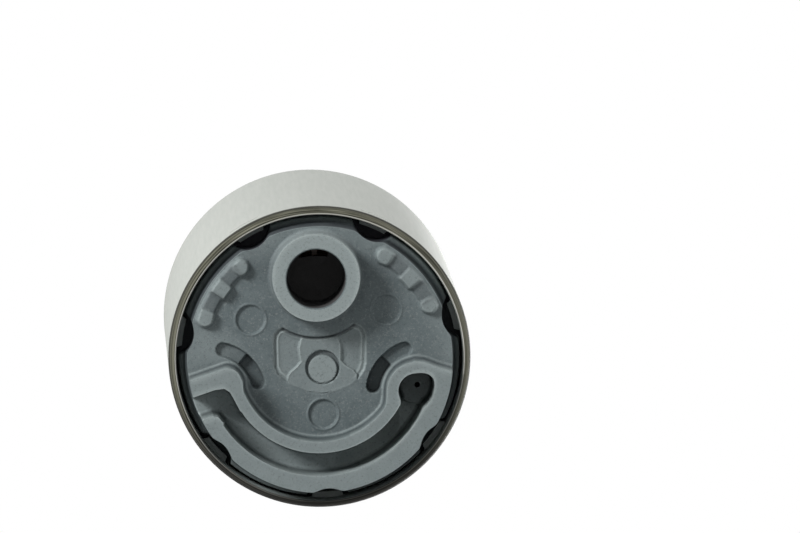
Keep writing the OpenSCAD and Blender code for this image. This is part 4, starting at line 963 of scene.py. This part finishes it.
class PUMP_OT_can(bpy.types.Operator):
    """Turn the can with its rounded edges and pressed stakes"""

    bl_idname = "pump.can"
    bl_label = "Can"

    def execute(self, context):
        made = add_mesh("drawn_can", *can_mesh(), finish_of("can_steel"), 50.0)
        settle(made, ROOT, "can_steel", "motor_can")
        return {"FINISHED"}


class PUMP_OT_mouldings(bpy.types.Operator):
    """Round the edges of the outlet cover, the terminals and the caps"""

    bl_idname = "pump.mouldings"
    bl_label = "Mouldings and stampings"

    def execute(self, context):
        for node, width in (("outlet_cover", 0.16), ("terminal_left", 0.08), ("terminal_right", 0.08),
                            ("check_cap", 0.06), ("relief_cap", 0.1)):
            settle(softened(node, width), body_of(node), node_slots()[node], node)
        return {"FINISHED"}


class PUMP_OT_coils(bpy.types.Operator):
    """Wind the springs and the choke coils from round wire"""

    bl_idname = "pump.coils"
    bl_label = "Springs and coils"

    def execute(self, context):
        sizes = context.scene.pump_coils
        for side, sign in (("left", -1), ("right", 1)):
            low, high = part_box(f"brush_spring_{side}")
            spring = coil(f"brush_coil_{side}", "spring_steel", sizes, (sign * 6.4, 0.0), low.z / MM, high.z / MM,
                          1.15, 0.22, 5)
            settle(spring, ROOT, "spring_steel", f"brush_spring_{side}")
            lead = coil(f"brush_braid_{side}", "copper", sizes, (sign * 6.4, 0.0), low.z / MM, high.z / MM, 0.3, 0.25, 1)
            settle(lead, ROOT, "copper", f"brush_lead_{side}")
            for piece in (spring, lead):
                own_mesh(piece)
            low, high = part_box(f"choke_coil_{side}")
            at = ((low.x + high.x) / 2 / MM, (low.y + high.y) / 2 / MM)
            settle(coil(f"choke_winding_{side}", "copper_winding", sizes, at, low.z / MM, high.z / MM, 1.57, 0.32, 11),
                   ROOT, "copper_winding", f"choke_coil_{side}")
        for name, node, joint, travel, radius, wire, turns in (
                ("check_coil", "check_spring", "check_valve_slide", 0.0015, 1.55, 0.22, 6),
                ("relief_coil", "relief_spring", "relief_ball_slide", 0.0008, 1.15, 0.18, 5)):
            low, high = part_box(node)
            at = ((low.x + high.x) / 2 / MM, (low.y + high.y) / 2 / MM)
            spring = coil(name, "spring_steel", sizes, at, low.z / MM, high.z / MM, radius, wire, turns)
            settle(spring, ROOT, "spring_steel", node)
            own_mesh(spring)
        return {"FINISHED"}


class PUMP_OT_strands(bpy.types.Operator):
    """Lay the wires of the end turns over both ends of the armature"""

    bl_idname = "pump.strands"
    bl_label = "End turns"

    def execute(self, context):
        sizes = context.scene.pump_coils
        low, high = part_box("armature_winding")
        wire = sizes.strand_r
        slots = 10
        tree = strand_tree(finish_of("copper_winding"))
        for name, level in (("end_turns_low", low.z / MM + wire), ("end_turns_high", high.z / MM - wire - 0.7)):
            made = grown(name, tree, {
                "Reach": 6.4 * MM, "Offset": 6.2 * MM, "Wire": wire * MM, "Pitch": 2.1 * wire * MM,
                "Strands": sizes.strands, "Slots": slots, "Angle": 2 * math.pi / slots})
            place(made, 0.0, 0.0, level)
            settle(made, body_of("armature_winding"), "copper_winding")
        return {"FINISHED"}


class PUMP_OT_stage(bpy.types.Operator):
    """Set the camera at the photograph's angle, the floor, the world and the lamps"""

    bl_idname = "pump.stage"
    bl_label = "Camera, floor and light"

    def execute(self, context):
        settings = context.scene.pump_stage
        make_camera(context, settings)
        make_floor(context, settings)
        make_world(context, settings)
        make_lamps(context, settings)
        context.scene.view_settings.view_transform = "Standard"
        return {"FINISHED"}


def make_camera(context, settings):
    """The camera looks up at the inlet end. Its place is worked out from the can's two end circles."""
    axis = Vector((-0.02777, 0.08425, -0.9960)).normalized()
    up = (Vector((0, 1, 0)) - axis * axis.y).normalized()
    side = up.cross(axis)
    turn = Matrix((side, up, axis)).transposed()
    near_circle = Vector((-10.128, -11.284, -1613.6))
    near_level = 6.5
    shift = near_circle - axis * near_level
    back = turn.transposed()
    data = bpy.data.cameras.new("camera")
    data.lens = settings.lens
    data.sensor_width = 36.0
    data.clip_end = 100.0
    camera = bpy.data.objects.new("camera", data)
    context.collection.objects.link(camera)
    camera.matrix_world = Matrix.Translation(back @ (-shift) * MM) @ back.to_4x4()
    context.scene.camera = camera


def make_floor(context, settings):
    """A pale floor that is solid from above and clear from below, so that the pump's foot can be seen."""
    size = 1.5
    mesh = bpy.data.meshes.new("floor")
    mesh.from_pydata([(-size, -size, 0), (size, -size, 0), (size, size, 0), (-size, size, 0)], [], [(0, 1, 2, 3)])
    floor = bpy.data.objects.new("floor", mesh)
    context.collection.objects.link(floor)
    made, tree, shader = material("Paper Floor", 0.9, 0.0, 0.1)
    shader.inputs["Base Color"].default_value = (*settings.paper, 1.0)
    clear = add_node(tree, "ShaderNodeBsdfTransparent").outputs[0]
    below = add_node(tree, "ShaderNodeNewGeometry").outputs["Backfacing"]
    unseen = calc(tree, "SUBTRACT", 1.0, add_node(tree, "ShaderNodeLightPath").outputs["Is Camera Ray"])
    hide = calc(tree, "MAXIMUM", below, unseen)
    mixed = add_node(tree, "ShaderNodeMixShader", {0: hide, 1: shader.outputs[0], 2: clear})
    tree.links.new(mixed.outputs[0], tree.nodes["Material Output"].inputs["Surface"])
    mesh.materials.append(made)


def make_world(context, settings):
    """White where it is seen or mirrored, and a plain soft light everywhere else."""
    world = bpy.data.worlds.new("world")
    world.use_nodes = True
    context.scene.world = world
    tree = world.node_tree
    tree.nodes.clear()
    path = add_node(tree, "ShaderNodeLightPath").outputs
    seen = calc(tree, "MAXIMUM", path["Is Camera Ray"], calc(
        tree, "MAXIMUM", path["Is Glossy Ray"], path["Is Transmission Ray"]))
    light = add_node(tree, "ShaderNodeBackground", {"Color": (1, 1, 1, 1), "Strength": settings.world_light})
    white = add_node(tree, "ShaderNodeBackground", {"Color": (1, 1, 1, 1), "Strength": 1.0})
    mixed = add_node(tree, "ShaderNodeMixShader", {0: seen, 1: light.outputs[0], 2: white.outputs[0]})
    out = add_node(tree, "ShaderNodeOutputWorld")
    tree.links.new(mixed.outputs[0], out.inputs["Surface"])


def make_lamps(context, settings):
    """Soft lamps round the pump: one above and left of the camera, one from over the outlet end, one low fill."""
    for name, at, size, power in (("key", (0.88, 0.66, -0.62), 0.4, 18.0), ("sky", (-0.3, -0.2, 0.9), 0.6, 6.0),
                                  ("fill", (-0.8, 0.1, 0.12), 0.6, 4.0)):
        data = bpy.data.lights.new(name, "AREA")
        data.shape = "DISK"
        data.size = size
        data.energy = power * settings.key_power
        lamp = bpy.data.objects.new(name, data)
        context.collection.objects.link(lamp)
        lamp.location = at
        lamp.rotation_euler = (Vector((0, 0, 0.04)) - Vector(at)).to_track_quat("-Z", "Y").to_euler()


OPERATORS = [PUMP_OT_finishes, PUMP_OT_can, PUMP_OT_inlet_casting, PUMP_OT_mouldings, PUMP_OT_coils, PUMP_OT_strands, PUMP_OT_stage]


class PUMP_PT_panel(bpy.types.Panel):
    """The pump's sizes and the steps that make it."""

    bl_label = "Fuel Pump"
    bl_space_type = "VIEW_3D"
    bl_region_type = "UI"
    bl_category = "Fuel Pump"

    def draw(self, context):
        for group in ("pump_casting", "pump_coils", "pump_stage"):
            settings = getattr(context.scene, group)
            box = self.layout.box()
            for name in settings.__annotations__:
                box.prop(settings, name)
        for step in OPERATORS:
            self.layout.operator(step.bl_idname)


CLASSES = [CastingSizes, CoilSizes, StageSettings, *OPERATORS, PUMP_PT_panel]


def register():
    for item in CLASSES:
        bpy.utils.register_class(item)
    bpy.types.Scene.pump_casting = PointerProperty(type=CastingSizes)
    bpy.types.Scene.pump_coils = PointerProperty(type=CoilSizes)
    bpy.types.Scene.pump_stage = PointerProperty(type=StageSettings)


def unregister():
    del bpy.types.Scene.pump_casting, bpy.types.Scene.pump_coils, bpy.types.Scene.pump_stage
    for item in reversed(CLASSES):
        bpy.utils.unregister_class(item)


def main():
    register()
    for step in ("stage", "finishes", "can", "inlet_casting", "mouldings", "coils", "strands"):
        getattr(bpy.ops.pump, step)()


if __name__ == "__main__":
    main()
